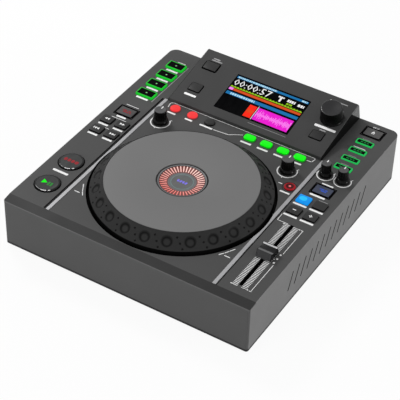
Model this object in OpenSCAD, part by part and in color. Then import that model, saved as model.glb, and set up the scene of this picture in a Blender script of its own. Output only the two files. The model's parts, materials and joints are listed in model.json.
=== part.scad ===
// Tabletop DJ media player: a flat case with a large jog wheel, a raised tilted display console,
// key columns on both sides and a long pitch fader. Millimetres, +X right, +Y rear, +Z up.
// The origin is the bottom centre of the whole part, on the plane that the feet rest on.

/* [Case] */
// Width of the case
case_w = 310; // [300:1:340]
// Depth of the case, front to rear
case_d = 345; // [343:1:365]
// Height of the case without its feet
case_h = 62; // [58:0.5:72]
// Thickness of the deck and of every moulded wall
wall = 2.5; // [2:0.1:3]
// Radius of the rear upright edges
rear_edge_r = 10; // [5:0.5:14]
// Radius of the front upright edges
front_edge_r = 3; // [2.5:0.5:6]
// Depth of the sloping lip along the front edge of the deck
lip_d = 12.5; // [8:0.5:14]
// Drop of that lip at its front edge
lip_drop = 2; // [0.5:0.25:2.5]
// Height of the rubber feet
foot_h = 4; // [3:0.5:8]
// Radius of the rubber feet
foot_r = 9; // [6:0.5:12]
// Distance of each foot's centre from the nearest two edges
foot_inset = 28; // [22:1:40]

/* [Base pan] */
// Thickness of the folded steel pan
pan_t = 1.2; // [0.8:0.1:1.5]
// Height of the pan's upturned rim
pan_rim_h = 3; // [2:0.25:5]
// Radius of the case screws' shanks
screw_r = 1.5; // [1.25:0.05:1.75]
// Length of the case screws below their heads
screw_len = 10; // [8:0.5:14]

/* [Console] */
// Width of the raised console
console_w = 205; // [200:1:215]
// Depth of the console on the deck, from the rear edge
console_d = 94.5; // [92:0.5:98]
// Height of the console's front edge above the deck
console_lip = 4; // [3:0.25:6]
// Height of the console's rear edge above the deck
console_rise = 23; // [20:0.5:28]
// How far the console's rear wall leans inwards at its top
console_back_lean = 6.2; // [3:0.2:9]
// Width of the bevel along the console's side edges
console_bevel = 1.5; // [1:0.25:3.5]
// Width of the visible picture
picture_w = 95.5; // [90:0.5:100]
// Height of the visible picture
picture_h = 54.5; // [50:0.5:58]
// Black border of the display window around the picture
window_border = 1.7; // [1.5:0.1:3]
// Thickness of the display window
window_t = 1.2; // [0.8:0.1:1.5]
// Place of the picture's centre to the right of the middle
picture_x = 1.5; // [-3:0.5:4]
// Place of the picture's centre behind the console's front edge
picture_v = 41; // [39:0.5:43]

/* [Jog wheel] */
// Outer radius of the jog wheel
jog_r = 101.6; // [98:0.2:102.4]
// Radius of the flat top plate
plate_r = 86; // [80:0.5:88]
// Height of the top plate above the deck
plate_rise = 17; // [13:0.5:20]
// Height of the jog wheel's outer edge above the deck
edge_rise = 3.2; // [1.5:0.1:5]
// Gap between the jog wheel and the well
well_gap = 3.6; // [2.5:0.1:3.7]
// Depth of the well below the deck
well_depth = 16; // [15:0.5:18]
// Thickness of the top plate
plate_t = 2; // [1.5:0.1:3]
// Thickness of the jog ring's wall
jog_wall = 3.5; // [2.5:0.1:4]
// Number of finger dimples around the ring
dimple_count = 24; // [16:1:30]
// Radius of a finger dimple at the surface
dimple_r = 6.6; // [3:0.2:7.4]
// Depth of a finger dimple
dimple_depth = 1.1; // [0.4:0.1:1.5]
// Radius of the fixed dial in the middle of the wheel
dial_r = 28.5; // [25:0.5:30]
// Radius of the fixed hollow post
post_r = 7.5; // [6:0.25:8]
// Outer radius of the two ball bearings
bearing_r = 12; // [11:0.5:13]
// Width of each ball bearing
bearing_w = 5; // [4:0.5:6]
// Number of slots in the code wheel
code_slots = 36; // [24:1:48]

/* [Keys] */
// Gap around a close-fitting key
key_gap = 0.35; // [0.3:0.05:0.45]
// Dark gap around a framed key
frame_gap = 1.6; // [1:0.1:2]
// Travel of a key
key_travel = 0.8; // [0.5:0.1:1]
// Travel of the large round keys
round_travel = 1.4; // [1:0.1:1.5]
// Diameter of the large round keys
round_key_d = 28.8; // [26:0.2:30]
// Distance from the left edge to the middle of the left key column
left_inset = 24.6; // [24:0.1:26]
// Distance from the right edge to the middle of the right key column
right_inset = 26; // [25:0.1:27]
// Depth of the circuit boards below the panel surface
board_depth = 11; // [10.5:0.1:12]
// Height of a key switch above its board
switch_h = 4.3; // [3.8:0.1:4.4]

/* [Knobs and fader] */
// Height of the two knobs beside the jog wheel
knob_h = 18; // [14:0.5:22]
// Radius of those knobs' skirts
knob_r = 9.2; // [8:0.1:11]
// Height of the two small knobs
small_knob_h = 17.5; // [12:0.5:20]
// Radius of the small knobs' skirts
small_knob_r = 7.8; // [7:0.1:8.5]
// Radius of the browse knob
browse_r = 14; // [11:0.25:15]
// Height of the browse knob
browse_h = 18.5; // [10:0.5:22]
// Radius of a control's spindle
spindle_r = 3; // [2.5:0.1:3.2]
// Travel of the pitch fader from end to end
fader_travel = 100; // [60:1:100]
// Length of the fader cap across its slot
cap_w = 18; // [14:0.5:20]
// Length of the fader cap along its slot
cap_len = 19; // [14:0.5:22]
// Height of the fader cap above the deck
cap_h = 9.5; // [7:0.5:14]

/* [Trim] */
// Width of the metal inlays
strip_w = 4; // [3:0.1:4.5]
// Height of the metal inlays above the deck
strip_rise = 0.5; // [0.2:0.1:1]
// Number of slanted grooves in the right wall
groove_count = 13; // [6:1:14]

/* [Rear sockets] */
// How far the audio jacks stand out of the rear wall
jack_out = 8; // [4:0.5:12]
// Height of the sockets' centres above the main board
socket_rise = 12; // [9:0.5:20]

/* [Hidden] */
$fn = 64;
fit = 0.3;      // clearance of a loose fit
seat = 0.05;    // radial clearance of a running fit
past = 1;       // how far a cutting shape runs past the face that it opens

// Heights of the main levels
deck_z = foot_h + case_h;
wall_z0 = foot_h + pan_rim_h;
pan_top = foot_h + pan_t;

// Pitch slot, and the distances between the rows of keys
slot_w = 4;
lever_gap = 0.8;
lever_w = slot_w - 2 * lever_gap;
lever_len = 8;
slot_len = fader_travel + lever_len + 2 * past;
slot_inset = 25.5;
fader_body_w = 9;
fader_body_h = 9;
fader_body_over = 8;
row_inset = 10.5;
mode_drop = 36;
small_drop = 24.5;
small_pitch = [20, 21.5];
pair_drop = 0.8;
pair_margin = 12.5;

// Plan places
mid_y = -jack_out / 2;
front_y = mid_y - case_d / 2;
rear_y = mid_y + case_d / 2;
left_x = -case_w / 2 + left_inset;
right_x = case_w / 2 - right_inset;
well_r = jog_r + well_gap;
jog_y = front_y + lip_d + well_r + fit;
well_z = deck_z - well_depth;
strip_offset = 0.5;
strip_x = console_w / 2 + strip_offset;
console_y = rear_y - console_d;
console_run = console_d - console_back_lean;
console_tilt = atan((console_rise - console_lip) / console_run);
console_len = console_run / cos(console_tilt);
strip_groove_w = 1.5;
strip_seat_t = 1;
strip_y0 = front_y + lip_d;

// Screw bosses: against the side, front and rear walls
boss_r = 3.5;
boss_x = case_w / 2 - wall - boss_r;
boss_inset = [22, 15];
boss_from_mid = [45, 43];
side_boss_ys = [
    front_y + boss_inset[0], mid_y - boss_from_mid[0], mid_y + boss_from_mid[1], rear_y - boss_inset[1]
];
boss_offset = wall + boss_r;
front_boss_x = 62;
rear_boss_x = 108;
SCREWS = concat(
    [for (s = [-1, 1], y = side_boss_ys) [s * boss_x, y]],
    [for (s = [-1, 1]) [s * front_boss_x, front_y + boss_offset]],
    [for (s = [-1, 1]) [s * rear_boss_x, rear_y - boss_offset]]
);

// Key styles: [width, depth, corner radius, gap, rise above the panel, travel]
PAD = [23, 13.4, 1.2, key_gap, 2.4, key_travel];
FRAMED = [20.4, 13.6, 0.8, frame_gap, 0.8, key_travel];
SMALL = [15, 12.5, 1, key_gap, 2, key_travel];
ROUND = [round_key_d, round_key_d, round_key_d / 2, 3 * key_gap, 1.6, round_travel];
LIT = [14, 10, 3.6, key_gap, 2.8, key_travel];
LIT_DOT = [12.4, 12.4, 6.2, key_gap, 2.8, key_travel];
DOT = [13, 13, 6.5, key_gap, 1.8, key_travel];
SOURCE = [21, 8.6, 1.2, key_gap, 1, key_travel];
SQUARE = [14.6, 12, 0.8, 3 * key_gap, 1.2, key_travel];
WIDE = [17.2, 12.4, 0.8, frame_gap, 1.2, key_travel];

// Left key column, rear to front
pad_pitch = 21.8;
play_inset = 48;
round_pitch = 45;
pad_y = rear_y - 33.4;
row_y = console_y - row_inset;
mode_y = row_y - mode_drop;
small_y = [mode_y - small_drop, mode_y - small_drop - small_pitch[1]];
play_y = front_y + play_inset;
cue_y = play_y + round_pitch;
function pad_at(i) = [left_x, pad_y - i * pad_pitch];
function small_at(col, row) = [left_x + (col - 0.5) * small_pitch[0], small_y[row]];

// Row of keys between the jog wheel and the console
effect_pitch = 23.6;
effect_x = 17 - strip_x;
loop_pitch = 21.7;
loop_x = strip_x - 23 - 3 * loop_pitch;
function effect_at(i) = [effect_x + i * effect_pitch, row_y];
function loop_at(i) = [loop_x + i * loop_pitch, row_y];
function beside_well(gap, angle) = [0, jog_y] + (well_r + gap) * [cos(angle), sin(angle)];
record_at = beside_well(14, 36.8);
effect_knob_at = beside_well(21.6, 133.6);
jog_knob_at = beside_well(18.2, 50);

// Right key column, rear to front
eject_at = [right_x, rear_y - 17.8];
source_pitch = 17.8;
function source_at(i) = [right_x, rear_y - 39.5 - i * source_pitch];
start_knob_at = [right_x - 10.7, row_y - 9.9];
stop_knob_at = [right_x + 10.7, row_y - 9.9];
sync_at = [right_x, mode_y];
function pair_at(col, row) = [right_x + (col - 0.5) * small_pitch[0], small_y[row] - pair_drop];
fader_y = front_y + slot_inset + slot_len / 2;

// Console places: [x, distance behind the console's front edge]
back_at = [19.5 - console_w / 2, 66];
menu_at = [20.8 - console_w / 2, 28];
view_at = [console_w / 2 - 21, 27];
browse_at = [console_w / 2 - 18, 57.6];

DECK_KEYS = concat(
    [for (i = [0:3]) [pad_at(i), PAD]],
    [[[left_x, mode_y], FRAMED], [[left_x, cue_y], ROUND], [[left_x, play_y], ROUND]],
    [for (row = [0, 1], col = [0, 1]) [small_at(col, row), SMALL]],
    [for (i = [0:2]) [effect_at(i), LIT_DOT]],
    [for (i = [0:3]) [loop_at(i), LIT]],
    [[record_at, DOT], [eject_at, FRAMED], [sync_at, FRAMED]],
    [for (i = [0:3]) [source_at(i), SOURCE]],
    [for (row = [0, 1], col = [0, 1]) [pair_at(col, row), SMALL]]
);
CONSOLE_KEYS = [[back_at, WIDE], [menu_at, SQUARE], [view_at, SQUARE]];
DECK_SPINDLES = [effect_knob_at, jog_knob_at, start_knob_at, stop_knob_at];

// Key and control build-up below a panel
flange_t = 1.2;
flange_lip = 1;
stem_r = 2;
board_t = 1.6;
control_w = 12;
control_h = 6.5;
bushing_r = spindle_r + 1;
spindle_depth = 5;
knob_gap = 0.5;
board_boss_r = 2.1;
switch_w = 6;
plunger_r = 1.7;
skirt_h = 5;
knob_taper = 2.2;
small_knob_taper = 2.2;
browse_taper = 1.2;
browse_skirt_h = 2.2;

// Boards under the deck
board_inner = 17;
left_board = [[left_x - 14, play_y - 14], [left_x + board_inner, pad_y + 13]];
right_board = [[right_x - board_inner, pair_at(0, 1)[1] - pair_margin], [right_x + 16, eject_at[1] + 8]];
LEFT_BOSSES = [
    [left_x, pad_at(0)[1] + 10.7], [left_x, mode_y + 17], [left_x, (small_y[1] + cue_y) / 2],
    [left_x, (play_y + cue_y) / 2]
];
RIGHT_BOSSES = [
    [right_x, (eject_at[1] + source_at(0)[1]) / 2 - 1.9], [right_x, start_knob_at[1] + 13],
    [right_x, mode_y + 13.5], [right_x, pair_at(0, 1)[1] - pair_margin + 3]
];
ROW_BOSSES = [
    [effect_x + effect_pitch / 2, row_y], [(effect_at(2)[0] + loop_x) / 2, row_y],
    [loop_x + 2.5 * loop_pitch, row_y]
];
CONSOLE_BOSSES = [[back_at[0], 47], [view_at[0], 40], [-62, 10], [62, 10]];
console_board_v = [7, console_len - 10.3];
console_board_w = console_w - 15;
row_board_d = 18;
row_board_end = 9;
knob_tab = 9;
record_tab = [6, 7];

// Jog wheel levels, from the well floor up
base_flange_t = 3;
base_flange_r = 34;
post_shoulder_r = post_r + 2;
post_shoulder_z = well_z + 4;
spacer_h = 7;
bearing_z = [post_shoulder_z, post_shoulder_z + bearing_w + spacer_h];
hub_top = bearing_z[1] + bearing_w + 1;
hub_z0 = well_z + 2.5;
hub_r = bearing_r + 5;
code_z = well_z + 5;
code_t = 1;
code_r = 40;
web_z = well_z + 13;
web_t = 3;
hub_flange_r = 30;
hub_flange_t = 3;
skirt_z = well_z + 7;
plate_z = deck_z + plate_rise;
edge_z = deck_z + edge_rise;
rim_t = 0.6;
plate_seat_r = plate_r - 6;
lamp_board_z = hub_top + 4;
lamp_board_r = dial_r - 1.5;
hub_cap_t = 1.5;
hub_gap = 0.3;
dial_brim = 1.2;
dial_drop = 3.4;
lamp_r = [15.8, 24.6];
slot_r0 = code_r - 6;
code_slot_len = 4.5;
code_slot_w = 1.6;

// Display, in the console's tilted frame
window_w = picture_w + 2 * window_border;
window_h = picture_h + 2 * window_border;
panel_t = 4.5;
panel_margin = 4;

// Sockets along the rear wall
main_board_z = pan_top + 5;
main_top = main_board_z + board_t;
main_front_y = console_y - 60;
main_board_w = 200;
standoff_inset = [8, 20];
standoff_r = 3;
chip_w = 20;
chip_h = 3;
chip_pitch = 45;
chip_inset = 25;
power_x = 72;
power_key_r = 5;
power_travel = 2.5;
power_rise = 3;
DATA_XS = [12, -12];
host_x = 40;
AUDIO_XS = [-58, -78];
inlet_x = 94;
port_depth = 14;
jack_r = 4.2;
jack_bore_r = 1.7;
jack_w = 11;
inlet_r = 4.5;
inlet_bore_r = 3;
inlet_pin_r = 1;
inlet_w = 12;
power_body_w = 12;
power_body_d = 18;

// Data ports: [shell width, shell height, cavity width, cavity height, tongue thickness, tongue centre]
FLAT_PORT = [13, 5.8, 12.2, 4.6, 1.6, 0.9];
SQUARE_PORT = [12, 11, 8.6, 7.8, 3.2, 0];

// ---- Shapes ----

// Rectangle with round corners, centred on the origin
module round_rect(w, d, r) {
    if (w > 2 * r) square([w - 2 * r, d], center = true);
    if (d > 2 * r) square([w, d - 2 * r], center = true);
    for (x = w > 2 * r ? [-1, 1] : [0], y = d > 2 * r ? [-1, 1] : [0])
        translate([x * (w / 2 - r), y * (d / 2 - r)])
            circle(r = r);
}

// Plan of the case: small radii at the front, large ones at the rear
module case_plan(w, d, rf, rr) {
    translate([-w / 2, -d / 2 + rf]) square([w, d - rf - rr]);
    translate([-w / 2 + rf, -d / 2]) square([w - 2 * rf, d / 2]);
    translate([-w / 2 + rr, 0]) square([w - 2 * rr, d / 2]);
    for (s = [-1, 1]) {
        translate([s * (w / 2 - rf), -d / 2 + rf]) circle(r = rf);
        translate([s * (w / 2 - rr), d / 2 - rr]) circle(r = rr);
    }
}

// Case block inset from the outer faces, with the sloping lip along its front edge
module case_block(inset, z0, z1) {
    difference() {
        translate([0, mid_y, z0])
            linear_extrude(z1 - z0)
                case_plan(case_w - 2 * inset, case_d - 2 * inset, max(front_edge_r - inset, 0.5),
                    rear_edge_r - inset);
        translate([-case_w / 2 - past, 0, z1])
            rotate([90, 0, 90])
                linear_extrude(case_w + 2 * past)
                    translate([front_y + inset, 0])
                        polygon([[lip_d, 0], [lip_d, past], [-lip_d, past], [-lip_d, -2 * lip_drop]]);
    }
}

// Everything on the console's face: origin at the middle of its front edge, +Z out of the face
module on_console() {
    translate([0, console_y, deck_z + console_lip])
        rotate([console_tilt, 0, 0])
            children();
}

// Side profile of the console hood, inset from its outer faces
module hood_profile(inset) {
    drop = inset / cos(console_tilt);
    slope = tan(console_tilt);
    polygon([
        [console_y + inset, inset > 0 ? -past : 0],
        [console_y + inset, console_lip + inset * slope - drop],
        [console_y + console_run - inset, console_rise - inset * slope - drop],
        [rear_y - inset, inset > 0 ? -past : 0]
    ]);
}

module hood_block(inset) {
    half = console_w / 2 - inset;
    translate([-half, 0, deck_z])
        rotate([90, 0, 90])
            linear_extrude(2 * half)
                hood_profile(inset);
}

// Hole for a key, cut down through a panel whose surface is at z = 0
module key_hole(key) {
    s = key[1];
    translate([key[0][0], key[0][1], -wall - past])
        linear_extrude(wall + 2 * past)
            round_rect(s[0] + 2 * s[3], s[1] + 2 * s[3], s[2] + s[3]);
}

// A push key: cap through the panel, retaining flange below it and stem over its switch
module key_cap(at, s) {
    flange_z = -wall - fit - flange_t;
    grow = 2 * (s[3] + flange_lip);
    stem_z = -board_depth + switch_h + s[5] + seat;
    translate([at[0], at[1], 0]) {
        translate([0, 0, flange_z])
            linear_extrude(s[4] - flange_z)
                round_rect(s[0], s[1], s[2]);
        translate([0, 0, flange_z])
            linear_extrude(flange_t)
                round_rect(s[0] + grow, s[1] + grow, s[2] + s[3] + flange_lip);
        translate([0, 0, stem_z])
            cylinder(r = stem_r, h = flange_z - stem_z + flange_t / 2);
    }
}

module deck_key(at, style) { translate([0, 0, deck_z]) key_cap(at, style); }

module console_key(at, style) { on_console() key_cap(at, style); }

// Key switch standing on a board whose top is at z = 0
module key_switch() {
    body_h = switch_h - 1;
    translate([-switch_w / 2, -switch_w / 2, 0]) cube([switch_w, switch_w, body_h]);
    cylinder(r = plunger_r, h = switch_h);
}

// Rotary control on a board whose top is at z = 0: body, bushing and a bore for the spindle
module control_body() {
    difference() {
        union() {
            translate([-control_w / 2, -control_w / 2, 0]) cube([control_w, control_w, control_h]);
            cylinder(r = bushing_r, h = board_depth - wall - fit);
        }
        translate([0, 0, board_depth - wall - spindle_depth - fit])
            cylinder(r = spindle_r + seat, h = spindle_depth + past);
    }
}

// Knob and its spindle standing on a panel whose surface is at z = 0
module knob(skirt_r, top_r, h, skirt_h) {
    translate([0, 0, knob_gap])
        rotate_extrude()
            polygon([
                [0, 0], [skirt_r - 0.6, 0], [skirt_r, 0.6], [skirt_r, skirt_h * 0.6], [top_r + 0.6, skirt_h],
                [top_r, h - knob_gap - 0.8], [top_r - 0.8, h - knob_gap], [0, h - knob_gap]
            ]);
    translate([0, 0, -wall - spindle_depth])
        cylinder(r = spindle_r, h = wall + spindle_depth + knob_gap + past);
}

// Raised pointer line on a knob's top
module pointer(top_r, h) {
    translate([-0.5, top_r * 0.25, h - past]) cube([1, top_r * 0.6, past + 0.25]);
}

// Circuit board slab between two plan corners
module board_slab(corners) {
    translate([corners[0][0], corners[0][1], deck_z - board_depth - board_t])
        cube([corners[1][0] - corners[0][0], corners[1][1] - corners[0][1], board_t]);
}

// Columns that hold a board below a panel whose surface is at z = 0
module board_bosses(places) {
    for (p = places)
        translate([p[0], p[1], -board_depth])
            cylinder(r = board_boss_r, h = board_depth - wall / 2);
}

// ---- Casing ----

module top_case() {
    color("dimgray")
        difference() {
            intersection() {
                union() {
                    difference() {
                        case_block(0, wall_z0, deck_z);
                        case_block(wall, wall_z0 - past, deck_z - wall);
                    }
                    translate([0, jog_y, well_z - wall])
                        cylinder(r = well_r + wall, h = well_depth + wall, $fn = 128);
                    for (p = SCREWS)
                        translate([p[0], p[1], pan_top])
                            cylinder(r = boss_r + fit, h = deck_z - wall / 2 - pan_top);
                    translate([0, 0, deck_z]) {
                        board_bosses(LEFT_BOSSES);
                        board_bosses(RIGHT_BOSSES);
                        board_bosses(ROW_BOSSES);
                    }
                }
                case_block(0, pan_top, deck_z);
            }
            translate([0, jog_y, well_z]) cylinder(r = well_r, h = well_depth + past, $fn = 128);
            translate([0, jog_y, well_z - wall - past])
                cylinder(r = post_shoulder_r + fit, h = wall + 2 * past);
            for (p = SCREWS)
                translate([p[0], p[1], pan_top - past]) cylinder(r = screw_r + seat, h = screw_len + past);
            translate([0, 0, deck_z]) {
                for (key = DECK_KEYS) key_hole(key);
                for (p = DECK_SPINDLES)
                    translate([p[0], p[1], -wall - past]) cylinder(r = spindle_r + fit, h = wall + 2 * past);
            }
            fader_slot();
            console_opening();
            for (s = [-1, 1]) strip_groove(s);
            rear_holes();
            wall_grooves();
        }
}

// Slot in the deck for the fader's lever
module fader_slot() {
    translate([right_x - slot_w / 2, fader_y - slot_len / 2, deck_z - wall - past])
        cube([slot_w, slot_len, wall + 2 * past]);
}

// Opening in the deck below the console hood
module console_opening() {
    x = console_w / 2 - 2 * wall;
    y0 = console_y + 2 * wall;
    y1 = rear_y - 2 * wall - rear_edge_r;
    translate([-x, y0, deck_z - wall - past]) cube([2 * x, y1 - y0, wall + 2 * past]);
}

// Shallow groove for one metal inlay and the dark line beside it; s is the side, -1 or 1
module strip_groove(s) {
    w = strip_w + strip_groove_w;
    translate([s > 0 ? strip_x : -strip_x - w, strip_y0, deck_z - strip_seat_t])
        cube([w, console_y - strip_y0, strip_seat_t + past]);
}

// Evenly spaced slanted grooves in the outer face of the right wall
module wall_grooves() {
    groove_depth = 0.7;
    groove_w = 2;
    groove_len = 24;
    pitch = 14;
    slant = 24;
    y0 = mid_y - (groove_count - 1) * pitch / 2;
    for (i = [0:groove_count - 1])
        translate([case_w / 2 - groove_depth, y0 + i * pitch, foot_h + case_h / 2])
            rotate([-slant, 0, 0])
                translate([0, -groove_w / 2, -groove_len / 2])
                    cube([groove_depth + past, groove_w, groove_len]);
}

// Openings in the rear wall for the sockets and the power key
module rear_holes() {
    for (x = DATA_XS) data_hole(x, FLAT_PORT);
    data_hole(host_x, SQUARE_PORT);
    for (x = AUDIO_XS) rear_port(x) circle(r = jack_r + fit);
    rear_port(inlet_x) circle(r = inlet_r + fit);
    rear_port(power_x) circle(r = power_key_r + key_gap);
}

module data_hole(x, port) {
    rear_port(x) square([port[0] + 2 * fit, port[1] + 2 * fit], center = true);
}

// Cuts a 2D shape through the rear wall at the sockets' height
module rear_port(x) {
    translate([x, rear_y + past, main_top + socket_rise])
        rotate([90, 0, 0])
            linear_extrude(wall + 2 * past)
                children();
}

module base_pan() {
    standoffs = [
        for (x = [-1, 1], y = [main_front_y + standoff_inset[0], rear_y - standoff_inset[1]])
            [x * (main_board_w / 2 - standoff_inset[0]), y]
    ];
    color("slategray")
        difference() {
            union() {
                difference() {
                    translate([0, mid_y, foot_h])
                        linear_extrude(pan_rim_h)
                            case_plan(case_w, case_d, front_edge_r, rear_edge_r);
                    translate([0, mid_y, pan_top])
                        linear_extrude(pan_rim_h)
                            case_plan(case_w - 2 * pan_t, case_d - 2 * pan_t, front_edge_r - pan_t,
                                rear_edge_r - pan_t);
                }
                for (p = standoffs)
                    translate([p[0], p[1], pan_top - pan_t / 2])
                        cylinder(r = standoff_r, h = main_board_z - pan_top + pan_t / 2);
            }
            for (p = SCREWS)
                translate([p[0], p[1], foot_h - past]) cylinder(r = screw_r + fit, h = pan_t + 2 * past);
        }
}

module feet() {
    edge = 1;
    color("black")
        for (x = [-1, 1], y = [-1, 1])
            translate([x * (case_w / 2 - foot_inset), mid_y + y * (case_d / 2 - foot_inset), 0])
                rotate_extrude()
                    polygon([[0, 0], [foot_r - edge, 0], [foot_r, edge], [foot_r, foot_h], [0, foot_h]]);
}

module case_screws() {
    head_h = 1.6;
    color("silver")
        for (p = SCREWS)
            translate([p[0], p[1], foot_h]) {
                cylinder(r = screw_r, h = screw_len);
                difference() {
                    translate([0, 0, -head_h]) cylinder(r = 2 * screw_r, h = head_h);
                    translate([0, 0, -head_h - past])
                        cylinder(r = screw_r * 0.7, h = past + head_h / 2, $fn = 6);
                }
            }
}

module trim_strips() {
    color("lightgray")
        difference() {
            for (s = [-1, 1])
                translate([s > 0 ? strip_x : -strip_x - strip_w, strip_y0, deck_z - strip_seat_t])
                    cube([strip_w, console_y - strip_y0, strip_seat_t + strip_rise]);
            translate([0, jog_y, deck_z - strip_seat_t - past])
                cylinder(r = well_r, h = strip_seat_t + strip_rise + 2 * past, $fn = 128);
        }
}

// ---- Console ----

module console_hood() {
    color("dimgray")
        difference() {
            union() {
                difference() {
                    hood_block(0);
                    hood_block(wall);
                }
                on_console() board_bosses(CONSOLE_BOSSES);
            }
            on_console() {
                for (key = CONSOLE_KEYS) key_hole(key);
                translate([browse_at[0], browse_at[1], -wall - past])
                    cylinder(r = spindle_r + fit, h = wall + 2 * past);
                translate([picture_x, picture_v, -wall - past])
                    linear_extrude(wall + 2 * past)
                        square([picture_w, picture_h], center = true);
                translate([picture_x, picture_v, -window_t])
                    linear_extrude(window_t + past)
                        round_rect(window_w, window_h, 1);
                for (s = [-1, 1]) console_side_bevel(s);
            }
        }
}

// Cuts the bevel along one side edge of the console; s is the side, -1 or 1
module console_side_bevel(s) {
    b = console_bevel * sqrt(2);
    translate([s * console_w / 2, -2 * wall, 0])
        rotate([0, 45, 0])
            translate([-b / 2, 0, -b / 2])
                cube([b, console_len + 4 * wall, b]);
}

module display_window() {
    color("black")
        on_console()
            translate([picture_x, picture_v, -window_t])
                linear_extrude(window_t)
                    round_rect(window_w - fit, window_h - fit, 1);
}

module display_panel() {
    color("darkslategray")
        on_console()
            translate([picture_x, picture_v, -wall - panel_t])
                linear_extrude(panel_t)
                    square([picture_w + 2 * panel_margin, picture_h + 2 * panel_margin], center = true);
}

// ---- Boards and controls ----

module main_board() {
    depth = rear_y - wall - fit - main_front_y;
    color("darkgreen") {
        translate([-main_board_w / 2, main_front_y, main_board_z]) cube([main_board_w, depth, board_t]);
        for (i = [-1, 0, 1])
            translate([i * chip_pitch - chip_w / 2, main_front_y + chip_inset, main_top - seat])
                cube([chip_w, chip_w, chip_h]);
    }
}

module key_boards() {
    color("seagreen") {
        board_slab(left_board);
        board_slab(right_board);
        board_slab([
            [effect_x - row_board_end, row_y - row_board_d / 2],
            [loop_at(3)[0] + row_board_end, row_y + row_board_d / 2]
        ]);
        for (p = [effect_knob_at, jog_knob_at])
            board_slab([[p[0] - knob_tab, p[1] - knob_tab], [p[0] + knob_tab, row_y]]);
        board_slab([record_at - record_tab, [record_at[0] + record_tab[0], jog_knob_at[1]]]);
        on_console()
            translate([-console_board_w / 2, console_board_v[0], -board_depth - board_t])
                cube([console_board_w, console_board_v[1] - console_board_v[0], board_t]);
    }
}

module tact_switches() {
    color("gold") {
        for (key = DECK_KEYS)
            translate([key[0][0], key[0][1], deck_z - board_depth]) key_switch();
        for (key = CONSOLE_KEYS)
            on_console() translate([key[0][0], key[0][1], -board_depth]) key_switch();
    }
}

module rotary_controls() {
    color("silver") {
        for (p = DECK_SPINDLES)
            translate([p[0], p[1], deck_z - board_depth]) control_body();
        on_console() translate([browse_at[0], browse_at[1], -board_depth]) control_body();
    }
}

module fader_body() {
    floor_t = 1.5;
    len = slot_len + 2 * fader_body_over;
    color("silver")
        difference() {
            translate([right_x - fader_body_w / 2, fader_y - len / 2, deck_z - wall - fader_body_h])
                cube([fader_body_w, len, fader_body_h]);
            translate([right_x - slot_w / 2, fader_y - slot_len / 2, deck_z - wall - fader_body_h + floor_t])
                cube([slot_w, slot_len, fader_body_h]);
        }
}

module rear_sockets() {
    color("dimgray") {
        for (x = DATA_XS) data_socket(x, FLAT_PORT);
        data_socket(host_x, SQUARE_PORT);
        for (x = AUDIO_XS)
            rear_part(x) {
                jack_block(jack_w);
                tube(jack_r, jack_bore_r, wall + fit + jack_out);
            }
        rear_part(inlet_x) {
            jack_block(inlet_w);
            tube(inlet_r, inlet_bore_r, wall);
            cylinder(r = inlet_pin_r, h = wall - 0.5);
        }
        rear_part(power_x)
            translate([-power_body_w / 2, -socket_rise, -power_body_d])
                cube([
                    power_body_w, socket_rise + power_body_w / 2,
                    power_body_d - power_travel - flange_t - fit
                ]);
    }
}

// Puts a socket at x on the main board, with +Z of its children pointing out through the rear wall
module rear_part(x) {
    translate([x, rear_y - wall - fit, main_top + socket_rise])
        rotate([-90, 0, 0])
            mirror([0, 1, 0])
                children();
}

// Body of a jack, standing on the main board
module jack_block(w) {
    translate([-w / 2, -socket_rise, -port_depth]) cube([w, socket_rise + w / 2, port_depth]);
}

// Data socket: shell through the rear wall with a cavity and a tongue in it
module data_socket(x, port) {
    w = port[0];
    h = port[1];
    back = 2;
    rear_part(x) {
        difference() {
            union() {
                translate([-w / 2, -socket_rise, -port_depth]) cube([w, socket_rise + h / 2, port_depth]);
                translate([-w / 2, -h / 2, -past]) cube([w, h, wall + past + fit]);
            }
            translate([-port[2] / 2, -port[3] / 2, back - port_depth])
                cube([port[2], port[3], port_depth + wall + past]);
        }
        translate([-port[2] / 4, port[5] - port[4] / 2, back / 2 - port_depth])
            cube([port[2] / 2, port[4], port_depth - back / 2]);
    }
}

// ---- Jog wheel ----

module jog_base() {
    color("silver")
        translate([0, jog_y, 0]) {
            translate([0, 0, well_z - wall - base_flange_t]) cylinder(r = base_flange_r, h = base_flange_t);
            difference() {
                union() {
                    translate([0, 0, well_z - wall - past])
                        cylinder(r = post_shoulder_r, h = post_shoulder_z - well_z + wall + past);
                    translate([0, 0, post_shoulder_z])
                        cylinder(r = post_r, h = lamp_board_z - post_shoulder_z);
                }
                translate([0, 0, well_z - wall]) cylinder(r = post_r - 2, h = lamp_board_z);
            }
        }
}

module jog_bearings() {
    color("lightsteelblue")
        translate([0, jog_y, 0]) {
            for (z = bearing_z) translate([0, 0, z]) tube(bearing_r, post_r, bearing_w);
            translate([0, 0, bearing_z[0] + bearing_w + seat])
                tube(post_shoulder_r, post_r, spacer_h - 2 * seat);
        }
}

module tube(r_out, r_in, h) {
    difference() {
        cylinder(r = r_out, h = h);
        translate([0, 0, -past]) cylinder(r = r_in, h = h + 2 * past);
    }
}

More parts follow.
